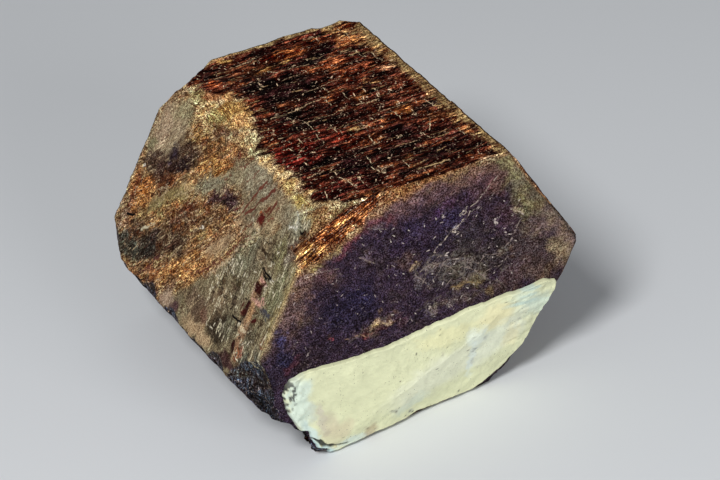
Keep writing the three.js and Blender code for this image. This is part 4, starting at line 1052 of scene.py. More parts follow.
def front_colour(x, z):
    """Near-black purple with blue, plum and grey clouds, and a grey-tan border on the right."""
    point = end_points(x, z)
    ragged = rough_noise(point, 1.6, 231, 5, 0.68)
    base = plain(x.shape, 48, 36, 48)
    upper = 1 - smooth(0.8, 5.0, edge_distance(TOP, x, z) + 1.1 * ragged)
    base = mix(base, linear(104, 76, 74), 0.75 * upper)
    rim = 1 - smooth(0.3, 1.5, edge_distance(TOP, x, z) + 0.5 * ragged)
    base = mix(base, linear(112, 86, 66), 0.75 * rim)
    leftward = 1 - smooth(0.8, 4.6, edge_distance(LEFT, x, z) + 1.1 * ragged)
    base = mix(base, linear(92, 70, 64), 0.7 * leftward * smooth(-1.5, 2.5, z))
    base = spots(base, x, z, FRONT_CLOUDS, sway=0.6, soft=0.9)
    base = spots(base, x, z, FRONT_PATCHES, sway=0.22, soft=0.6)
    right = 1 - smooth(1.5, 2.6, edge_distance(UPPER_RIGHT, x, z) + 0.7 * ragged)
    border = mix(plain(x.shape, 110, 90, 84), linear(116, 106, 84), smooth(4.0, 7.5, z + ragged))
    border = mottle(border, ragged, (0.64, 0.6, 0.6), (1.22, 1.22, 1.22))
    base = mix(base, border, 0.75 * right * smooth(-2.0, 1.5, z))
    base = base * (1.04, 1.06, 1.04)
    cloud = rough_noise(point, 2.0, 237, 3, 0.7)
    base = mix(base, base * (1.1, 1.16, 0.9), smooth(0.0, 0.8, cloud + 0.04 * x))
    base = mix(base, base * (0.95, 0.97, 1.06), smooth(0.0, 0.8, -cloud - 0.04 * x))
    return mottle(base, rough_noise(point, 0.6, 235, 3, 0.9), (0.66, 0.66, 0.68), (1.45, 1.42, 1.4))


# Where the front end is webbed with fine pale cracks: middle, half sizes, turn, strength
WEBBED_PLACES = (
    (4.6, 2.8, 4.8, 2, -12, 1), (-4.8, -0.9, 2.4, 0.8, 5, 1), (8.8, 0.2, 3, 1.2, 10, 0.7),
    (3, -0.8, 3, 1, 0, 0.7),
)


def edge_distance(face, x, z):
    """How far a front-end point lies inside a long face's edge."""
    return DISTANCE[face] - (x * NORMAL[face, 0] + z * NORMAL[face, 1])


def make_crystal():
    """The surface as rings: shares of the outline over the front end, the outline at each place
    along the crystal, and shares again over the back end, then worn and broken."""
    face, share = outline_columns()
    columns = len(face)
    y = np.linspace(FRONT, BACK, LENGTH_RINGS)
    sides, steps = side_points(face, share, y)
    front = (np.arange(1, FRONT_RINGS) / FRONT_RINGS)[:, None, None]
    back = (1 - np.arange(1, BACK_RINGS) / BACK_RINGS)[:, None, None]
    across = np.concatenate([sides[0] * front, sides, sides[-1] * back])
    ring_y = np.concatenate([np.full(FRONT_RINGS - 1, FRONT), y, np.full(BACK_RINGS - 1, BACK)])
    rows = len(ring_y)
    lengthwise = np.broadcast_to(ring_y[:, None], (rows, columns))
    p = np.stack([across[..., 0], lengthwise, across[..., 1]], axis=-1)
    on_front = np.arange(rows)[:, None] < FRONT_RINGS - 1
    on_back = np.arange(rows)[:, None] >= FRONT_RINGS - 1 + LENGTH_RINGS
    from_rim = np.concatenate([1 - front[:, 0], np.zeros((rows - FRONT_RINGS + 1, 1))])
    x, z = p[..., 0], p[..., 2]
    p[..., 1] += np.where(on_front, smooth(0.0, END_RIM, from_rim) * front_relief(x, z), 0)
    p[..., 1] -= np.where(on_back, back_relief(x, z), 0)
    middle = np.zeros(1)
    poles = np.array([[0, FRONT + front_relief(middle, middle)[0], 0],
                      [0, BACK - back_relief(middle, middle)[0], 0]])
    worn, cut = cut_by_breaks(np.concatenate([p.reshape(-1, 3), poles]))
    worn, bitten = bite_by_chips(worn)
    worn[:, 2] = np.maximum(worn[:, 2], -AXIS_HEIGHT)
    quads, fans = grid_faces(rows, columns), closing_fans(rows, columns)
    piece = make_object("crystal_surface", worn, quads, fans)
    paint_crystal(piece, worn, cut + bitten, face, share, steps, on_front, on_back, rows)
    return piece


# The line that the splintered front edge follows: its ends, length, direction and side, and how
# far back the splinters reach
SPLINTERS_FROM, SPLINTERS_TO = np.array([-11.4, -16.0, 8.4]), np.array([0.5, -15.8, 13.5])
SPLINTERS_LENGTH = np.linalg.norm(SPLINTERS_TO - SPLINTERS_FROM)
SPLINTERS_ALONG = (SPLINTERS_TO - SPLINTERS_FROM) / SPLINTERS_LENGTH
SPLINTERS_SIDE = np.cross(SPLINTERS_ALONG, (0, 1, 0))
SPLINTERS_END_Y = -12


def splinters(p):
    """1 beside the line that the splintered front edge follows, falling to 0 raggedly, the
    strands there, which are noise stretched along the line, and the tan wedge under them."""
    length = SPLINTERS_LENGTH
    t = (p - SPLINTERS_FROM) @ SPLINTERS_ALONG
    across = (p - SPLINTERS_FROM) @ SPLINTERS_SIDE
    deep = p[..., 1] - SPLINTERS_FROM[1]
    across = across + 0.3 * noise(t / 2.0, 0, 0, 245)
    strand = 1.1 * noise(across / 0.3, t / 1.7, deep / 0.5, 241)
    strand = strand + 0.9 * noise(across / 0.17, t / 0.8, deep / 0.3, 243)
    half = 1.15 - 0.85 * smooth(0.35, 0.9, t / length)
    away = np.hypot(across - 0.7, 0.6 * deep) + 0.45 * strand
    strand = strand - 1.3 * smooth(0.5, 1.3, across + 0.2 * noise(t, 0, 0, 247))
    ends = smooth(-0.8, 0.8, t) * smooth(length + 2, length - 2, t)
    wedge = smooth(-1.7, -0.5, across) * smooth(-1.0, 1.0, t) * smooth(length - 4, length - 7, t)
    return smooth(half + 0.35, half - 0.25, away) * ends, strand, wedge


# Steps of the back end: turn in degrees, distance from the middle and depth
BACK_STEPS = ((-30, 3.6, 0.5), (-30, 8.8, 1.05), (-90, 8.4, 0.8), (150, 9.4, 0.45))
# Cracks on the back end: points as x, z, half width, colour and strength
BACK_CRACK_ROWS = (
    (((-14, 3), (-9, 4.6), (-4, 3.8), (2, 6.4), (6, 9.6)), 0.06, (158, 136, 116), 0.8),
    (((-6, 12), (-3.6, 8), (-4, 3.8), (-1.6, -2), (-2.4, -8)), 0.05, (134, 112, 100), 0.8),
    (((3.4, 12.6), (4.6, 8.6), (8.4, 4), (9.4, -1)), 0.07, (28, 18, 24), 0.8),
    (((-11, -2), (-6.4, -3.4), (-1.8, -2.6), (4.4, -4.6), (10.6, -3.8)), 0.06, (26, 18, 22), 0.8),
    (((-9.6, 8.6), (-6.6, 6.2), (-5.8, 2)), 0.05, (26, 18, 24), 0.8),
)
BACK_CRACKS = [
    *wandered(BACK_CRACK_ROWS, 340, 0.2, 0.5),
    *scattered(60, (-12, 13), (-10, 12), -30, 25, (0.6, 2.4), 93, (0.06, PALE, 0.8)),
]


def back_steps(x, z):
    """The deepest step that each point lies beyond, and how near it lies to the rim of one."""
    depth, rim = 0 * x, 0 * x
    for turn, start, step in BACK_STEPS:
        a = np.radians(turn)
        along = x * np.cos(a) + z * np.sin(a) + 0.9 * noise(x / 2.4, 0, z / 2.4, 141)
        depth = np.maximum(depth, step * smooth(start - 0.3, start + 0.3, along))
        rim = np.maximum(rim, np.exp(-((along - start + 0.2) / 0.5) ** 2))
    return depth, rim


def back_relief(x, z):
    """The steps that split off the back end, over a fine grain."""
    point = end_points(x, z)
    return back_steps(x, z)[0] + 0.08 * (1 + rough_noise(point, 2.6, 143, 2))


def back_colour(x, z):
    """Dark plum clouded with brown and grey, tan towards the long faces and on the steps' rims."""
    point = end_points(x, z)
    ragged, cloud = rough_noise(point, 3.0, 251, 2, 0.5), rough_noise(point, 5.0, 253, 2, 0.5)
    base = plain(x.shape, 74, 56, 60)
    base = mix(base, linear(116, 92, 76), 0.8 * smooth(0.0, 0.7, cloud))
    base = mix(base, linear(54, 46, 68), 0.8 * smooth(0.0, 0.7, -cloud))
    base = mix(base, linear(120, 112, 104), 0.6 * smooth(0.2, 0.8, ragged))
    base = mix(base, linear(104, 58, 50), 0.6 * smooth(0.2, 0.8, -ragged))
    inside = np.min([edge_distance(face, x, z) for face in (TOP, LEFT, UPPER_RIGHT)], axis=0)
    base = mix(base, linear(134, 110, 82), 0.8 * (1 - smooth(0.2, 2.4, inside + 0.9 * ragged)))
    return mix(base, linear(160, 138, 110), 0.5 * back_steps(x, z)[1])


def crumbling_colour(grid, ragged, grain):
    """Tan, gold, grey-green and brown crumbs, for the pale edges that are worn or broken."""
    x, y = grid[..., 0], grid[..., 1]
    crumbs = mix(plain(x.shape, 176, 148, 108), linear(184, 140, 86), smooth(0.1, 0.9, ragged))
    crumbs = mix(crumbs, linear(156, 146, 116), smooth(0.1, 0.9, -ragged) * 0.8)
    brown = rough_noise(grid, 1.2, 127, 4, 0.7)
    crumbs = mix(crumbs, linear(116, 84, 56), 0.7 * smooth(0.2, 1.0, brown))
    crumbs = spots(crumbs, x, y, BEVEL_MARKS, sway=0.4, soft=0.6)
    lit = (1.42, 1.6, 1.76) * (1 - 0.22 * smooth(-10.5, -13.0, y))[..., None]
    return lit * mottle(crumbs, 0.8 * grain, (0.55, 0.45, 0.34), (1.3, 1.3, 1.3))


def splinter_colour(x, strand, ragged, grain):
    """Brown and gold strands on the splintered edge, with a painted highlight where the strand noise runs
    highest.
    """
    gold = mix(plain(x.shape, 124, 84, 50), linear(188, 152, 92), smooth(0.0, 0.8, ragged))
    gold = mottle(gold, strand, (0.4, 0.28, 0.24), (1.3, 1.45, 1.5))
    # painted highlight: pale cream where the strand noise is highest
    gold = mix(gold, linear(206, 180, 134), 0.55 * smooth(0.9, 1.4, strand + 0.5 * grain))
    return gold * (0.62 + 0.6 * smooth(-9.9, -8.7, x))[..., None]


def front_with_rims(x, z, crumbs, rim, wedge, ragged):
    """The front end's colours, with the tan wedge under the splinters and the worn rims round it."""
    end = front_colour(x, z)
    end = mix(end, linear(128, 98, 68), 0.75 * smooth(0.25, 0.75, wedge + 0.3 * ragged))
    end = mix(end, crumbs * (0.46, 0.38, 0.36), rim * 0.75)
    upper_left = smooth(0.3, -0.6, x + 10.2 + 0.45 * (z - 11) + 0.5 * ragged)
    upper_left = upper_left * smooth(7.4, 8.6, z + 0.4 * ragged)
    end = mix(end, crumbs * (0.66, 0.54, 0.5), upper_left * 0.9)
    left_rim = 1 - smooth(0.3, 0.9, edge_distance(LEFT, x, z) + 0.3 * ragged)
    return mix(end, linear(154, 132, 100), left_rim * smooth(-1, 2, z) * 0.85)


def broken_colour(x, y, crumbs, ragged, grain, dark):
    """Slate-grey where the crystal is broken low down or at the back, pale crumbs elsewhere."""
    slate = mix(plain(x.shape, 54, 58, 70), linear(62, 54, 52), smooth(0.1, 0.9, ragged))
    slate = mottle(slate, grain, (0.4, 0.38, 0.4), (1.8, 1.75, 1.7))
    front_edge = smooth(0.9, 0.3, y - FRONT) * smooth(-6.5, -3.5, x)
    pale = crumbs * (1 - front_edge[..., None] * (0.44, 0.58, 0.6))
    return np.where(dark[..., None], slate, pale)


def thin_lines(shape, parts):
    """Each part's own lines: how far aside of one and from it every point lies, and its colour."""
    side, away, tint = np.full(shape, FAR_ASIDE), np.full(shape, FAR_AWAY), np.zeros((*shape, 4))
    for part, u, v, lines in parts:
        part = np.broadcast_to(part, shape)
        marks = line_field(np.where(part, u, OFF_THE_PART), np.where(part, v, OFF_THE_PART), lines)
        side, away = np.where(part, marks[0], side), np.where(part, marks[1], away)
        tint = np.where(part[..., None], marks[2], tint)
    return side, away, tint


def paint_crystal(piece, p, broken, face, share, steps, on_front, on_back, rows):
    """Colours and surface weights at each vertex, from its place and how much is broken off."""
    shape = (rows, len(face))
    grid = p[:-2].reshape(*shape, 3)
    x, y, z = grid[..., 0], grid[..., 1], grid[..., 2]
    full_steps = np.full(shape, 0.5)
    full_steps[FRONT_RINGS - 1:FRONT_RINGS - 1 + LENGTH_RINGS] = steps
    faces = np.broadcast_to(face, shape)
    along = np.broadcast_to(share * FACE_LENGTH[face], shape)
    long_face = ~(on_front | on_back)
    on_left = (faces == LEFT) & long_face
    grain = rough_noise(grid, 0.9, 121, 3, 0.7)
    ragged = rough_noise(grid, 1.8, 123, 4, 0.65)
    crumbs = crumbling_colour(grid, ragged, grain)

    other = plain_colour(along, y, faces, full_steps)
    colour = np.where((faces == TOP)[..., None], top_colour(x, y, full_steps), other)
    fingers = rough_noise(face_points(x / 6, y), 0.5, 125, 3, 0.7)
    left_of_dark = np.interp(y, DARK_EDGE_Y, DARK_EDGE_X) - x + 0.55 * ragged + 0.7 * fingers
    tan_part = np.where(faces == TOP, smooth(-0.25, 0.3, left_of_dark), 0)
    colour = mix(colour, crumbs, tan_part)
    colour = np.where((faces == LEFT)[..., None], left_colour(along, y, full_steps), colour)
    bevel = smooth(19.1, 19.8, along + 0.5 * ragged + 1.6 * np.exp(-((y - 6) / 3.5) ** 2))
    colour = mix(colour, crumbs, np.where(faces == LEFT, bevel, 0) * 0.9)
    slate = mix(other, linear(60, 68, 80), np.full(shape, 0.75))
    colour = np.where((faces == LOWER_LEFT)[..., None], slate, colour)

    rim = np.minimum(edge_distance(TOP, x, z), edge_distance(UPPER_RIGHT, x, z) * 1.6)
    rim_weight = 1 - smooth(0.1, 0.7, rim + 0.3 * ragged)
    splinter, strand, wedge = splinters(grid)
    front = front_with_rims(x, z, crumbs, rim_weight, wedge, ragged)
    colour = np.where(on_front[..., None], front, colour)
    colour = np.where(on_back[..., None], back_colour(x, z), colour)

    gold = splinter_colour(x, strand, ragged, grain)
    colour = mix(colour, gold, splinter * np.where(on_back | (y > SPLINTERS_END_Y), 0, 1))
    loss = broken[:-2].reshape(shape) * (1 - splinter)
    broken_off = broken_colour(x, y, crumbs, ragged, grain, (z < 6) | on_back)
    colour = mix(colour, broken_off, smooth(0.02, 0.2, loss) * 0.8)
    near_front = 1 - smooth(0.1, 0.5, y - FRONT + 0.25 * ragged)
    near_front = near_front * ~on_front * (faces != LOWER_LEFT)
    colour = mix(colour, crumbs, near_front * 0.3 * (1 - splinter))
    poles = np.array([linear(*pole) for pole in POLE_COLOURS])
    set_colour(piece, "tint", np.concatenate([colour.reshape(-1, 3), poles]))

    # How striated and how crumbly each place is
    worn = smooth(0.02, 0.3, loss)
    slant = slanted(along, y)
    growing = smooth(2.2, 3.6, slant)
    streak = np.where(long_face, np.where(faces == LEFT, 0.32, 1.0), 0)
    streak = streak * (1 - 0.7 * worn) * (1 - 0.85 * tan_part)
    streak = np.where(on_left, streak * (0.6 + 0.4 * growing), streak)
    pale_side = smooth(3.2, 1.6, edge_distance(UPPER_RIGHT, x, z)) * smooth(1.0, 0.2, rim_weight + splinter)
    front_crumb = (0.3 + 0.34 * np.maximum(rim_weight, splinter)) * (1 - 0.4 * pale_side)
    crumb = np.where(on_front, front_crumb, np.where(on_back, 0.5, 0.28))
    crumb = np.where(on_left, np.maximum(0.16 + 0.37 * growing, 0.5 * bevel), crumb)
    right, back = top_rims(x, y)
    top_rim = np.where((faces == TOP) & long_face, np.maximum(0.8 * right, back), 0)
    streak = streak * (1 - 0.8 * top_rim)
    crumb = np.maximum(0.45 * np.maximum(tan_part, top_rim), np.maximum(crumb, worn * 0.7))
    even = np.where(on_left, spot_weight(along, y, SMOOTH_PLACES), 0)
    crumb, streak = crumb * (1 - 0.75 * even), streak * (1 - 0.6 * even)
    back_web = 0.7 * smooth(-0.3, 0.6, rough_noise(grid, 5.0, 257, 2))
    front_web = spot_weight(x, z, WEBBED_PLACES)
    web = np.where(on_front, front_web, np.where(on_back, back_web, 0))

    # Places along and across the fibres: each face's own, the growth's, and the splinters'
    slanting = on_left & (slant > 3.1)
    growth_along, growth_across = turned_to_growth(along, y)
    lengthwise = np.where(slanting, growth_along, along + 40 * faces)
    across = np.where(slanting, growth_across, y)
    beside_edge = (on_left & (bevel > 0.5)) | (tan_part > 0.5)
    lengthwise, across = np.where(beside_edge, y, lengthwise), np.where(beside_edge, along + x, across)
    on_end = on_front | on_back
    lengthwise, across = np.where(on_end, 2.4 * x, lengthwise), np.where(on_end, z, across)
    splintered = splinter * (y < SPLINTERS_END_Y) > 0.4
    from_start = grid - SPLINTERS_FROM
    lengthwise = np.where(splintered, from_start @ SPLINTERS_ALONG, lengthwise)
    across = np.where(splintered, from_start @ SPLINTERS_SIDE + y, across)
    streak = np.where(splintered, 0.9, streak)

    side, away, line_tint = thin_lines(shape, (
        ((faces == TOP) & long_face, x, y, TOP_MARKS), (on_left, along, y, LEFT_MARKS),
        (on_front, x, z, FRONT_CRACKS), (on_back, x, z, BACK_CRACKS)))
    away = np.where(splintered | (tan_part > 0.5), FAR_AWAY, away)
    aside = 0.5 + np.clip(side, -FAR_ASIDE, FAR_ASIDE) / (2 * FAR_ASIDE)
    values = {"streak": streak, "crumb": crumb, "web": web, "line_side": aside,
              "line_near": 1 - away / LINE_REACH}
    for name, value in values.items():
        set_value(piece, name, np.concatenate([np.broadcast_to(value, shape).ravel(), [0, 0]]))
    set_colour(piece, "line_tint", np.concatenate([line_tint.reshape(-1, 4), np.zeros((2, 4))]))
    fibre = np.stack([lengthwise, across, 0 * x], axis=-1).reshape(-1, 3)
    set_vector(piece, "fibre", np.concatenate([fibre, np.zeros((2, 3))]))


class Nodes:
    """Short calls that add a shader node, set its inputs and return its output."""

    def __init__(self, name):
        self.material = bpy.data.materials.new(name)
        self.material.use_nodes = True
        self.tree = self.material.node_tree
        self.shader = self.tree.nodes["Principled BSDF"]
        self.place = self.add("ShaderNodeTexCoord").outputs["Object"]

    def add(self, kind, inputs=None, **settings):
        """A node with these settings and inputs."""
        node = self.tree.nodes.new(kind)
        for key, value in settings.items():
            setattr(node, key, value)
        for key, value in (inputs or {}).items():
            self.feed(node.inputs[key], value)
        return node

    def feed(self, socket, value):
        """Links an output to an input, or sets the input to a plain value."""
        if isinstance(value, bpy.types.NodeSocket):
            self.tree.links.new(value, socket)
        else:
            socket.default_value = value

    def attribute(self, name, output="Fac"):
        """One of the values stored at the vertices."""
        return self.add("ShaderNodeAttribute", attribute_name=name).outputs[output]

    def noise(self, sizes, detail=3.0, rough=0.55, offset=0.0, fibre=None):
        """Noise whose lumps measure these millimetres along X, Y and Z, or along and across the
        fibres."""
        scale = tuple((1000 if fibre is None else 1) / s for s in sizes)
        place = self.place if fibre is None else fibre
        moved = self.add("ShaderNodeMapping", {"Vector": place, "Scale": scale, "Location": (offset,) * 3})
        texture = self.add("ShaderNodeTexNoise", {
            "Vector": moved.outputs[0], "Scale": 1.0, "Detail": detail, "Roughness": rough})
        return texture.outputs["Fac"]

    def swirled(self, size, reach):
        """Places moved to and fro by noise of this size, by up to this reach in millimetres."""
        moved = self.add("ShaderNodeMapping", {"Vector": self.place, "Scale": (1000 / size,) * 3})
        shift = self.add("ShaderNodeTexNoise", {"Vector": moved.outputs[0], "Scale": 1.0, "Detail": 1.0})
        middle = self.vector("SUBTRACT", {0: shift.outputs["Color"], 1: (0.5, 0.5, 0.5)})
        scaled = self.vector("SCALE", {0: middle, "Scale": reach / 1000})
        return self.vector("ADD", {0: self.place, 1: scaled})

    def vector(self, operation, inputs):
        """One vector sum, difference or scaling."""
        return self.add("ShaderNodeVectorMath", inputs, operation=operation).outputs[0]

    def ramp(self, value, low, high, to_low=0.0, to_high=1.0):
        """A smooth S from one value, at low, to another, at high."""
        ends = {"Value": value, "From Min": low, "From Max": high, "To Min": to_low, "To Max": to_high}
        return self.add("ShaderNodeMapRange", ends, interpolation_type="SMOOTHSTEP").outputs[0]

    def math(self, operation, first, *others):
        """One operation on two values, and again on the result and each further value."""
        for other in others:
            first = self.add("ShaderNodeMath", {0: first, 1: other}, operation=operation).outputs[0]
        return first

    def times(self, *values):
        """The product of some values."""
        return self.math("MULTIPLY", *values)

    def plus(self, *values):
        """The sum of some values."""
        return self.math("ADD", *values)

    def blend(self, weight, a, b, kind="MIX"):
        """One colour over another by this weight, mixed or multiplied."""
        node = self.add("ShaderNodeMix", data_type="RGBA", blend_type=kind)
        self.feed(node.inputs["Factor"], weight)
        self.feed(node.inputs["A"], a)
        self.feed(node.inputs["B"], b)
        return node.outputs["Result"]


def rgba(colour):
    """A screen colour as a shader takes it, with no see-through."""
    return (*linear(*colour), 1)


def stone_material():
    """Base tint, with fine splinters along the fibres where it is striated, light and dark
    crumbs where it is worn, painted glints in pale flecks and specks, thin lines, and a bump from
    all of them. A thin line shows where
    line_side is near its middle and line_near is high, and breaks into dots unless it is strong."""
    n = Nodes("corundum")
    tint, streak, crumb = n.attribute("tint", "Color"), n.attribute("streak"), n.attribute("crumb")
    fibre = n.attribute("fibre", "Vector")
    strands = n.noise((2.8, 0.5, 5), 3, 0.62, 7.3, fibre)
    needles = n.noise((1.3, 0.19, 5), 2, 0.6, 1.3, fibre)
    hairs = n.noise((0.75, 0.1, 5), 0, 0.5, 4.4, fibre)
    flecks = n.noise((0.3, 0.14, 5), 1, 0.5, 6.2, fibre)
    grains = n.noise((0.6, 0.17, 5), 2, 0.62, 1.7, fibre)
    bits = n.noise((1.1, 0.22, 5), 2, 0.6, 15.1, fibre)
    clumps = n.noise((0.7, 0.7, 0.7), 3, 0.65, 5.9)
    dust = n.noise((0.13, 0.13, 0.13), 0, 0.5, 9.1)

    def shaded(base, value, low, high, dark, light, weight):
        """The base times dark where the value is low and times light where it is high."""
        ladder = n.blend(n.ramp(value, low, high), (*dark, 1), (*light, 1))
        return n.blend(weight, base, n.blend(1.0, base, ladder, "MULTIPLY"))

    colour = shaded(tint, strands, 0.42, 0.61, (0.17, 0.04, 0.03), (1.8, 1.75, 1.7), streak)
    colour = shaded(colour, needles, 0.38, 0.62, (0.36, 0.2, 0.18), (1.8, 1.85, 1.9), streak)
    colour = shaded(colour, hairs, 0.40, 0.60, (0.36, 0.22, 0.2), (2.2, 2.3, 2.4), streak)
    colour = shaded(colour, clumps, 0.38, 0.62, (0.5, 0.36, 0.26), (1.35, 1.4, 1.4), crumb)
    colour = shaded(colour, grains, 0.38, 0.62, (0.4, 0.3, 0.22), (1.5, 1.65, 1.7), crumb)
    colour = shaded(colour, bits, 0.38, 0.62, (0.6, 0.36, 0.3), (1.2, 1.5, 1.4), crumb)
    chips = n.noise((0.36, 0.15, 5), 1, 0.5, 22.4, fibre)
    for low, high, side in ((0.58, 0.66, (1.8, 2.0, 2.1, 1)), (0.42, 0.34, (0.28, 0.16, 0.1, 1))):
        part = n.times(n.ramp(chips, low, high), n.ramp(crumb, 0.2, 0.5, 0.25, 0.9))
        colour = n.blend(part, colour, n.blend(1.0, colour, side, "MULTIPLY"))
    loose = n.ramp(crumb, 0.0, 0.4, 0.5, 1.0)
    colour = shaded(colour, dust, 0.36, 0.64, (0.3, 0.22, 0.2), (1.8, 1.85, 1.9), loose)

    cells = n.add("ShaderNodeTexVoronoi", {
        "Vector": n.swirled(0.5, 0.5), "Scale": 1000 / 1.5, "Randomness": 1.0}, feature="DISTANCE_TO_EDGE")
    vein = n.times(n.ramp(cells.outputs["Distance"], 0.09, 0.02), n.ramp(clumps, 0.42, 0.56))
    colour = n.blend(n.times(vein, n.attribute("web"), 0.45), colour, rgba((124, 114, 102)))
    # painted glints: thin pale flecks along the fibres where the stone is striated
    pale = n.times(n.ramp(flecks, 0.66, 0.73), n.ramp(clumps, 0.40, 0.56, 0.25, 1.0))
    colour = n.blend(n.times(pale, streak, 0.9), colour, rgba((222, 190, 160)))
    # painted glints: tiny pale specks everywhere, strongest where the stone is crumbly
    glint_speck = n.times(n.ramp(dust, 0.72, 0.80), n.ramp(clumps, 0.46, 0.56, 0.15, 0.8))
    glint_speck = n.times(glint_speck, n.ramp(crumb, 0.3, 0.55, 0.25, 1.0))
    colour = n.blend(glint_speck, colour, rgba((206, 186, 164)))
    aside = n.math("ABSOLUTE", n.math("SUBTRACT", n.attribute("line_side"), 0.5), 0.0)
    line = n.times(n.ramp(aside, 0.085, 0.045), n.ramp(n.attribute("line_near"), 0.6, 0.8))
    dots = n.noise((0.2, 0.2, 0.2), 0, 0.5, 12.5)
    strength = n.attribute("line_tint", "Alpha")
    unbroken = n.math("MAXIMUM", n.ramp(dots, 0.40, 0.56, 0.1, 1.0), n.ramp(strength, 0.92, 0.98))
    line = n.times(line, strength, unbroken)
    colour = n.blend(line, colour, n.attribute("line_tint", "Color"))
    n.feed(n.shader.inputs["Base Color"], colour)

    n.feed(n.shader.inputs["Roughness"], n.ramp(grains, 0.3, 0.7, 0.45, 0.7))
    n.shader.inputs["Specular IOR Level"].default_value = 0.03
    striated = n.times(n.plus(needles, strands, n.times(hairs, 0.5)), streak)
    crumbled = n.times(n.plus(grains, clumps), n.times(crumb, 0.5))
    height = n.plus(striated, crumbled, n.times(dust, 0.15), n.times(line, 0.3))
    bump = n.add("ShaderNodeBump", {"Height": height, "Distance": 0.00015, "Strength": 0.8})
    n.feed(n.shader.inputs["Normal"], bump.outputs[0])
    return n.material


# The paint's edge as x, z, the middle that its rings close on, its thickness, the least that is
# left in a crack, how deep its back lies in the stone, and the width of its round rim
PAINT_EDGE = (
    (-13.8, -3.35), (-12.8, -3.05), (-10, -3.1), (-6, -3.2), (-4, -3.25), (0, -2.9), (2, -2.6), (4, -2.45),
    (6, -2.2), (8, -2.25), (10, -2.1), (12, -2.15), (14, -1.95), (15.3, -2.5), (15.6, -3), (14.8, -5.2),
    (13.8, -7.4), (12.6, -9.2), (10.4, -11.2), (7.8, -12.8), (6.2, -13.15), (-10.4, -13.15), (-11.6, -12.7),
    (-12.4, -11.8), (-12.8, -10.4), (-13.3, -9.3), (-13.9, -8), (-14.5, -6.4), (-14.6, -4.8), (-14.3, -3.8),
)
PAINT_MIDDLE = (0.5, -7.8)
PAINT_THICKNESS, PAINT_LEAST, PAINT_BACK = 0.4, 0.1, 0.12
PAINT_RIM = 0.35
PAINT_COLUMNS, PAINT_ROWS = 420, 84
# Where a chip has taken the stone, the paint ends further in: how far in is looked, in how many
# places, and how many places it stays clear of the chip
CHIP_SEARCH, CHIP_PLACES, CHIP_CLEAR = 3, 61, 4


def paint_outline():
    """The edge, walked at an even pace, ragged by a few tenths of a millimetre, and drawn in to
    where the stone is whole."""
    points = np.array(PAINT_EDGE + PAINT_EDGE[:1])
    walked = np.concatenate([[0], np.cumsum(np.linalg.norm(np.diff(points, axis=0), axis=1))])
    at = np.linspace(0, walked[-1], PAINT_COLUMNS, endpoint=False)
    edge = np.stack([np.interp(at, walked, points[:, k]) for k in (0, 1)], axis=1)
    out = edge - PAINT_MIDDLE
    out /= np.linalg.norm(out, axis=1, keepdims=True)
    ragged = rough_noise(np.stack([edge[:, 0], 0 * at, edge[:, 1]], axis=1), 1.6, 151, 4, 0.6)
    fine = noise(edge[:, 0] / 0.55, 0, edge[:, 1] / 0.55, 153)
    edge = edge + out * (0.13 * ragged + 0.07 * fine - 0.08)[:, None]
    inward = edge[:, None] - out[:, None] * np.linspace(0, CHIP_SEARCH, CHIP_PLACES)[None, :, None]
    y = front_surface(inward[..., 0], inward[..., 1])
    point = np.stack([inward[..., 0], y, inward[..., 1]], axis=-1)
    whole = ~inside_chips(point.reshape(-1, 3)).reshape(y.shape)
    first = np.argmax(whole, axis=1)
    return inward[np.arange(len(edge)), np.where(first > 0, first + CHIP_CLEAR, 0)]


def make_paint():
    """A film with a round rim: its face stands off the crystal by the film's thickness, its back
    lies just inside the crystal, and both are shares of the outline round one middle."""
    edge = paint_outline()
    share = np.sin(np.linspace(0, np.pi / 2, PAINT_ROWS + 1)[1:])
    at = PAINT_MIDDLE + (edge - PAINT_MIDDLE) * share[:, None, None]
    x, z = at[..., 0], at[..., 1]
    lying = front_surface(x, z)
    point = end_points(x, z)
    from_edge = (1 - share)[:, None] * np.linalg.norm(edge - PAINT_MIDDLE, axis=1)
    rim = np.sqrt(np.clip(1 - (1 - np.clip(from_edge / PAINT_RIM, 0, 1)) ** 2, 0, 1))
    lumps = 0.05 * rough_noise(point, 2.4, 161, 3, 0.5) + 0.025 * noise(x / 0.8, 0, z / 3.5, 163)
    left_end = np.exp(-((x + 13.4) / 1.3) ** 2)
    lumps = lumps + left_end * (0.12 + 0.14 * rough_noise(point, 0.8, 165, 3, 0.6))
    ridge_z = 5.5 + 0.1 * x - 0.6 * line_mask(x, z, ((-0.5, -5.3), (7, -6.1)), 3)
    ridge = np.exp(-((z + ridge_z) / 0.5) ** 2)
    lumps = lumps + 0.07 * ridge * smooth(-2, 1, x) * smooth(9, 6, x)
    steps = smooth(9, 11, x) * 0.07 * np.round(1.5 * noise(x / 5, 0, z / 0.5, 173))
    brushed = 0.05 * np.exp(-(from_edge / 0.5) ** 2)
    film = PAINT_THICKNESS + lumps + steps + brushed - 0.3 * paint_crack(x, z)
    film = np.maximum(film, PAINT_LEAST) * rim
    outer = np.stack([x, lying - film, z], axis=-1)
    inner = np.stack([x, lying + PAINT_BACK, z], axis=-1)[::-1][::4]
    middle_x, middle_z = PAINT_MIDDLE
    middle_y = front_surface(np.array([middle_x]), np.array([middle_z]))[0]
    poles = [[middle_x, middle_y + offset, middle_z] for offset in (-PAINT_THICKNESS, PAINT_BACK)]
    points = np.concatenate([outer.reshape(-1, 3), inner.reshape(-1, 3), poles])
    rows = len(outer) + len(inner)
    quads, fans = grid_faces(rows, PAINT_COLUMNS), closing_fans(rows, PAINT_COLUMNS)
    piece = make_object("dried_paint", points, quads, fans)
    colour_paint(piece, points)
    return piece


# The crack that parts the lip from the coat, as x, z
PAINT_CRACK = ((-12.2, -10.5), (-11.5, -11.2), (-10.9, -11.8), (-10.2, -12.2), (-9.3, -12.5), (-8.4, -12.7))


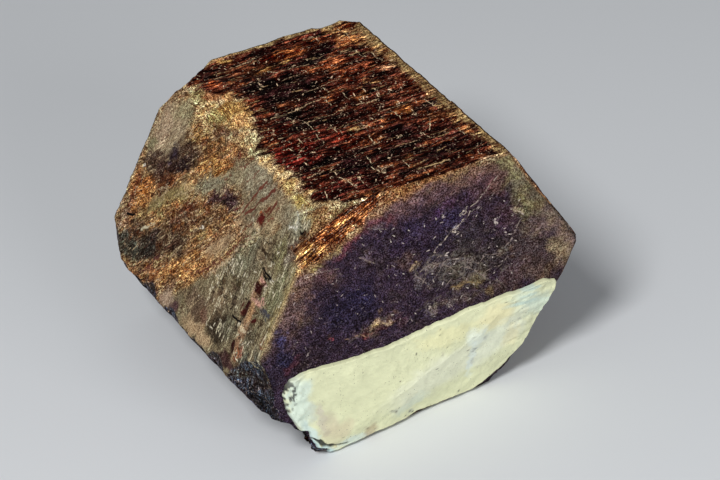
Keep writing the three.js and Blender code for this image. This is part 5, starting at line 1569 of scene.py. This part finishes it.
def paint_crack(x, z):
    """1 in the dark crack that parts the lip from the coat, widest in its middle."""
    wide = 0.12 + 0.2 * np.exp(-((x + 11.2) / 0.35) ** 2) + 0.16 * np.exp(-((x + 10.2) / 0.3) ** 2)
    return smooth(0.0, 0.5, line_mask(x + 0.1 * noise(x / 0.4, 0, z / 0.4, 175), z, PAINT_CRACK, wide))


# Tints and smudges on the paint, as x, z, and its dark flecks: middle and half sizes
PAINT_TINTS = (
    (13, -4.4, 3.4, 1.6, -35, 212, 226, 206, 0.8), (-13, -6, 1.5, 3.4, 0, 210, 226, 214, 0.8),
    # painted light: these two whiter tints low on the coat make up for the shade where it turns down
    (3, -8.6, 7.4, 2, 12, 226, 228, 202, 0.8), (9, -7.2, 4, 2.2, 35, 228, 232, 208, 0.8),
    (-9.6, -11, 2, 1.6, 20, 204, 198, 162, 0.6), (-7.6, -12.6, 2.4, 0.5, 0, 206, 222, 214, 0.7),
    (-11.2, -12.3, 2.6, 0.5, -32, 192, 218, 220, 0.85), (-12.6, -10.9, 0.5, 1.4, 10, 192, 218, 220, 0.8),
    (8.6, -4, 2.2, 1.4, 0, 228, 218, 170, 0.6), (3, -4.4, 4, 1.2, -4, 222, 218, 168, 0.6),
    (-1.6, -11, 2.2, 0.9, 10, 198, 208, 192, 0.6), (6.4, -5.8, 1.6, 1.2, 0, 222, 232, 224, 0.6),
    (6, -8.6, 0.5, 2.6, 0, 214, 226, 222, 0.6), (10.4, -7.8, 1, 1.6, 0, 232, 224, 178, 0.6),
)
PAINT_SMUDGES = (
    (-11, -8.8, 0.4, 1.9, 0, 196, 188, 172, 0.7), (-11.8, -7.6, 0.5, 1.4, 0, 202, 208, 190, 0.6),
    (-10.2, -9.6, 1, 1.4, 0, 200, 190, 162, 0.6), (-9, -10.8, 1.6, 1, 0, 204, 194, 162, 0.6),
    (-12.3, -9.8, 0.6, 1.8, 25, 198, 218, 214, 0.8), (-10.6, -10.6, 0.5, 0.5, 0, 178, 168, 146, 0.6),
    (-5.7, -12.4, 0.8, 0.9, 0, 178, 164, 130, 0.8), (-6.2, -11.8, 0.3, 0.2, 0, 150, 138, 112, 0.6),
    (-3.2, -11, 0.5, 0.35, -30, 158, 158, 142, 0.6), (-1.2, -12.3, 0.4, 0.25, 0, 160, 164, 150, 0.7),
    (6.1, -5.7, 0.3, 0.25, 0, 150, 150, 138, 0.5), (7.4, -6.2, 0.25, 0.4, 0, 170, 172, 160, 0.6),
    (6.1, -7.4, 0.3, 0.25, 0, 140, 142, 134, 0.6), (6.2, -8.8, 0.25, 0.6, 0, 182, 186, 176, 0.6),
    (11.4, -5.8, 0.5, 0.25, -30, 182, 186, 172, 0.7), (2.6, -6.4, 0.2, 0.3, 0, 170, 166, 146, 0.5),
)
PAINT_FLECKS = (
    (-3.4, -10.9, 0.12, 0.1), (-3, -11.2, 0.14, 0.08), (-2.6, -10.8, 0.08, 0.1),
    (-1.7, -12.5, 0.13, 0.09), (-1.2, -12.3, 0.12, 0.12), (-0.8, -12.5, 0.15, 0.08),
    (2.4, -3.5, 0.05, 0.14), (2.3, -4, 0.07, 0.07), (-0.4, -5.2, 0.08, 0.16), (-14.2, -4.2, 0.2, 0.14),
    (-13.9, -5.2, 0.12, 0.3), (-13.5, -3.9, 0.1, 0.25), (-14.3, -6.6, 0.14, 0.2),
    (-13.4, -4.9, 0.08, 0.2), (4.6, -12.4, 0.12, 0.2), (-8.5, -3.9, 0.06, 0.06),
    (-10.3, -3.7, 0.08, 0.06), (-9, -11.7, 0.1, 0.07), (-6, -11.9, 0.07, 0.12),
    (-5.2, -12.5, 0.05, 0.1), (1.7, -7.9, 0.05, 0.22), (5.3, -7.2, 0.12, 0.08), (9.6, -2.9, 0.16, 0.05),
    (3, -5.6, 0.06, 0.08),
)
FLECK_COLOUR, FLECK_STRENGTH = (58, 58, 52), 0.85


def colour_paint(piece, points):
    """Cream, cooler and whiter low down and at both ends, with grey smudges and thin places; the whiter part
    low down is painted light against the shade where the coat turns down.
    """
    x, z = points[:, 0], points[:, 2]
    base = plain(x.shape, 215, 217, 178)
    base = spots(base, x, z, PAINT_TINTS)
    base = spots(base, x, z, PAINT_SMUDGES, sway=0.25)
    flecks = [(*fleck, 0, *FLECK_COLOUR, FLECK_STRENGTH) for fleck in PAINT_FLECKS]
    base = spots(base, x, z, flecks, sway=0.08)
    point = end_points(x, z)
    fine = rough_noise(point, 0.5, 177, 3, 0.7)
    base = base * (1 + 0.05 * rough_noise(point, 1.5, 171, 3, 0.6) + 0.035 * fine)[:, None]
    brush_marks = smooth(0.1, 0.5, noise(x / 2.5, 0, (z + 0.12 * x) / 0.4, 173))
    blue = smooth(8.5, 11, x) * brush_marks * smooth(-5, -3.8, z)
    base = mix(base, linear(192, 216, 208), 0.6 * blue)
    holes = smooth(0.3, 0.45, noise(x / 0.22, 0, z / 0.34, 167))
    holes = holes * smooth(1.2, 0.5, np.hypot(x + 14.0, (z + 4.8) * 0.5))
    base = mix(base, linear(40, 42, 42), 0.9 * holes)
    base = mix(base, linear(24, 22, 20), 0.95 * paint_crack(x, z))
    set_colour(piece, "tint", base)


def paint_material():
    """Satin, faintly yellowed in specks, with small dark pits and brush marks."""
    n = Nodes("dried_white_paint")
    tint = n.attribute("tint", "Color")
    specks = n.noise((0.28, 0.28, 0.28), 2, 0.5, 2.3)
    clouds = n.noise((1.8, 1.8, 1.8), 3, 0.6, 4.1)
    colour = n.blend(n.times(n.ramp(specks, 0.60, 0.76), 0.28), tint, rgba((206, 196, 156)))
    pits = n.noise((0.13, 0.13, 0.13), 0, 0.5, 8.8)
    dots = n.times(n.ramp(pits, 0.74, 0.80), n.ramp(clouds, 0.46, 0.58))
    colour = n.blend(n.times(dots, 0.7), colour, rgba((88, 80, 70)))
    n.feed(n.shader.inputs["Base Color"], colour)
    n.feed(n.shader.inputs["Roughness"], n.ramp(clouds, 0.3, 0.7, 0.45, 0.62))
    height = n.plus(n.times(specks, 0.6), clouds)
    bump = n.add("ShaderNodeBump", {"Height": height, "Distance": 0.00008, "Strength": 0.7})
    n.feed(n.shader.inputs["Normal"], bump.outputs[0])
    return n.material


make_camera()
make_lights()
make_floor()
for piece, node, slot, material in (
    (make_crystal(), "corundum_crystal", "stone", stone_material()),
    (make_paint(), "white_paint_patch", "paint", paint_material()),
):
    piece.data.materials.append(material)
    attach(piece, "root")
    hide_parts(node)
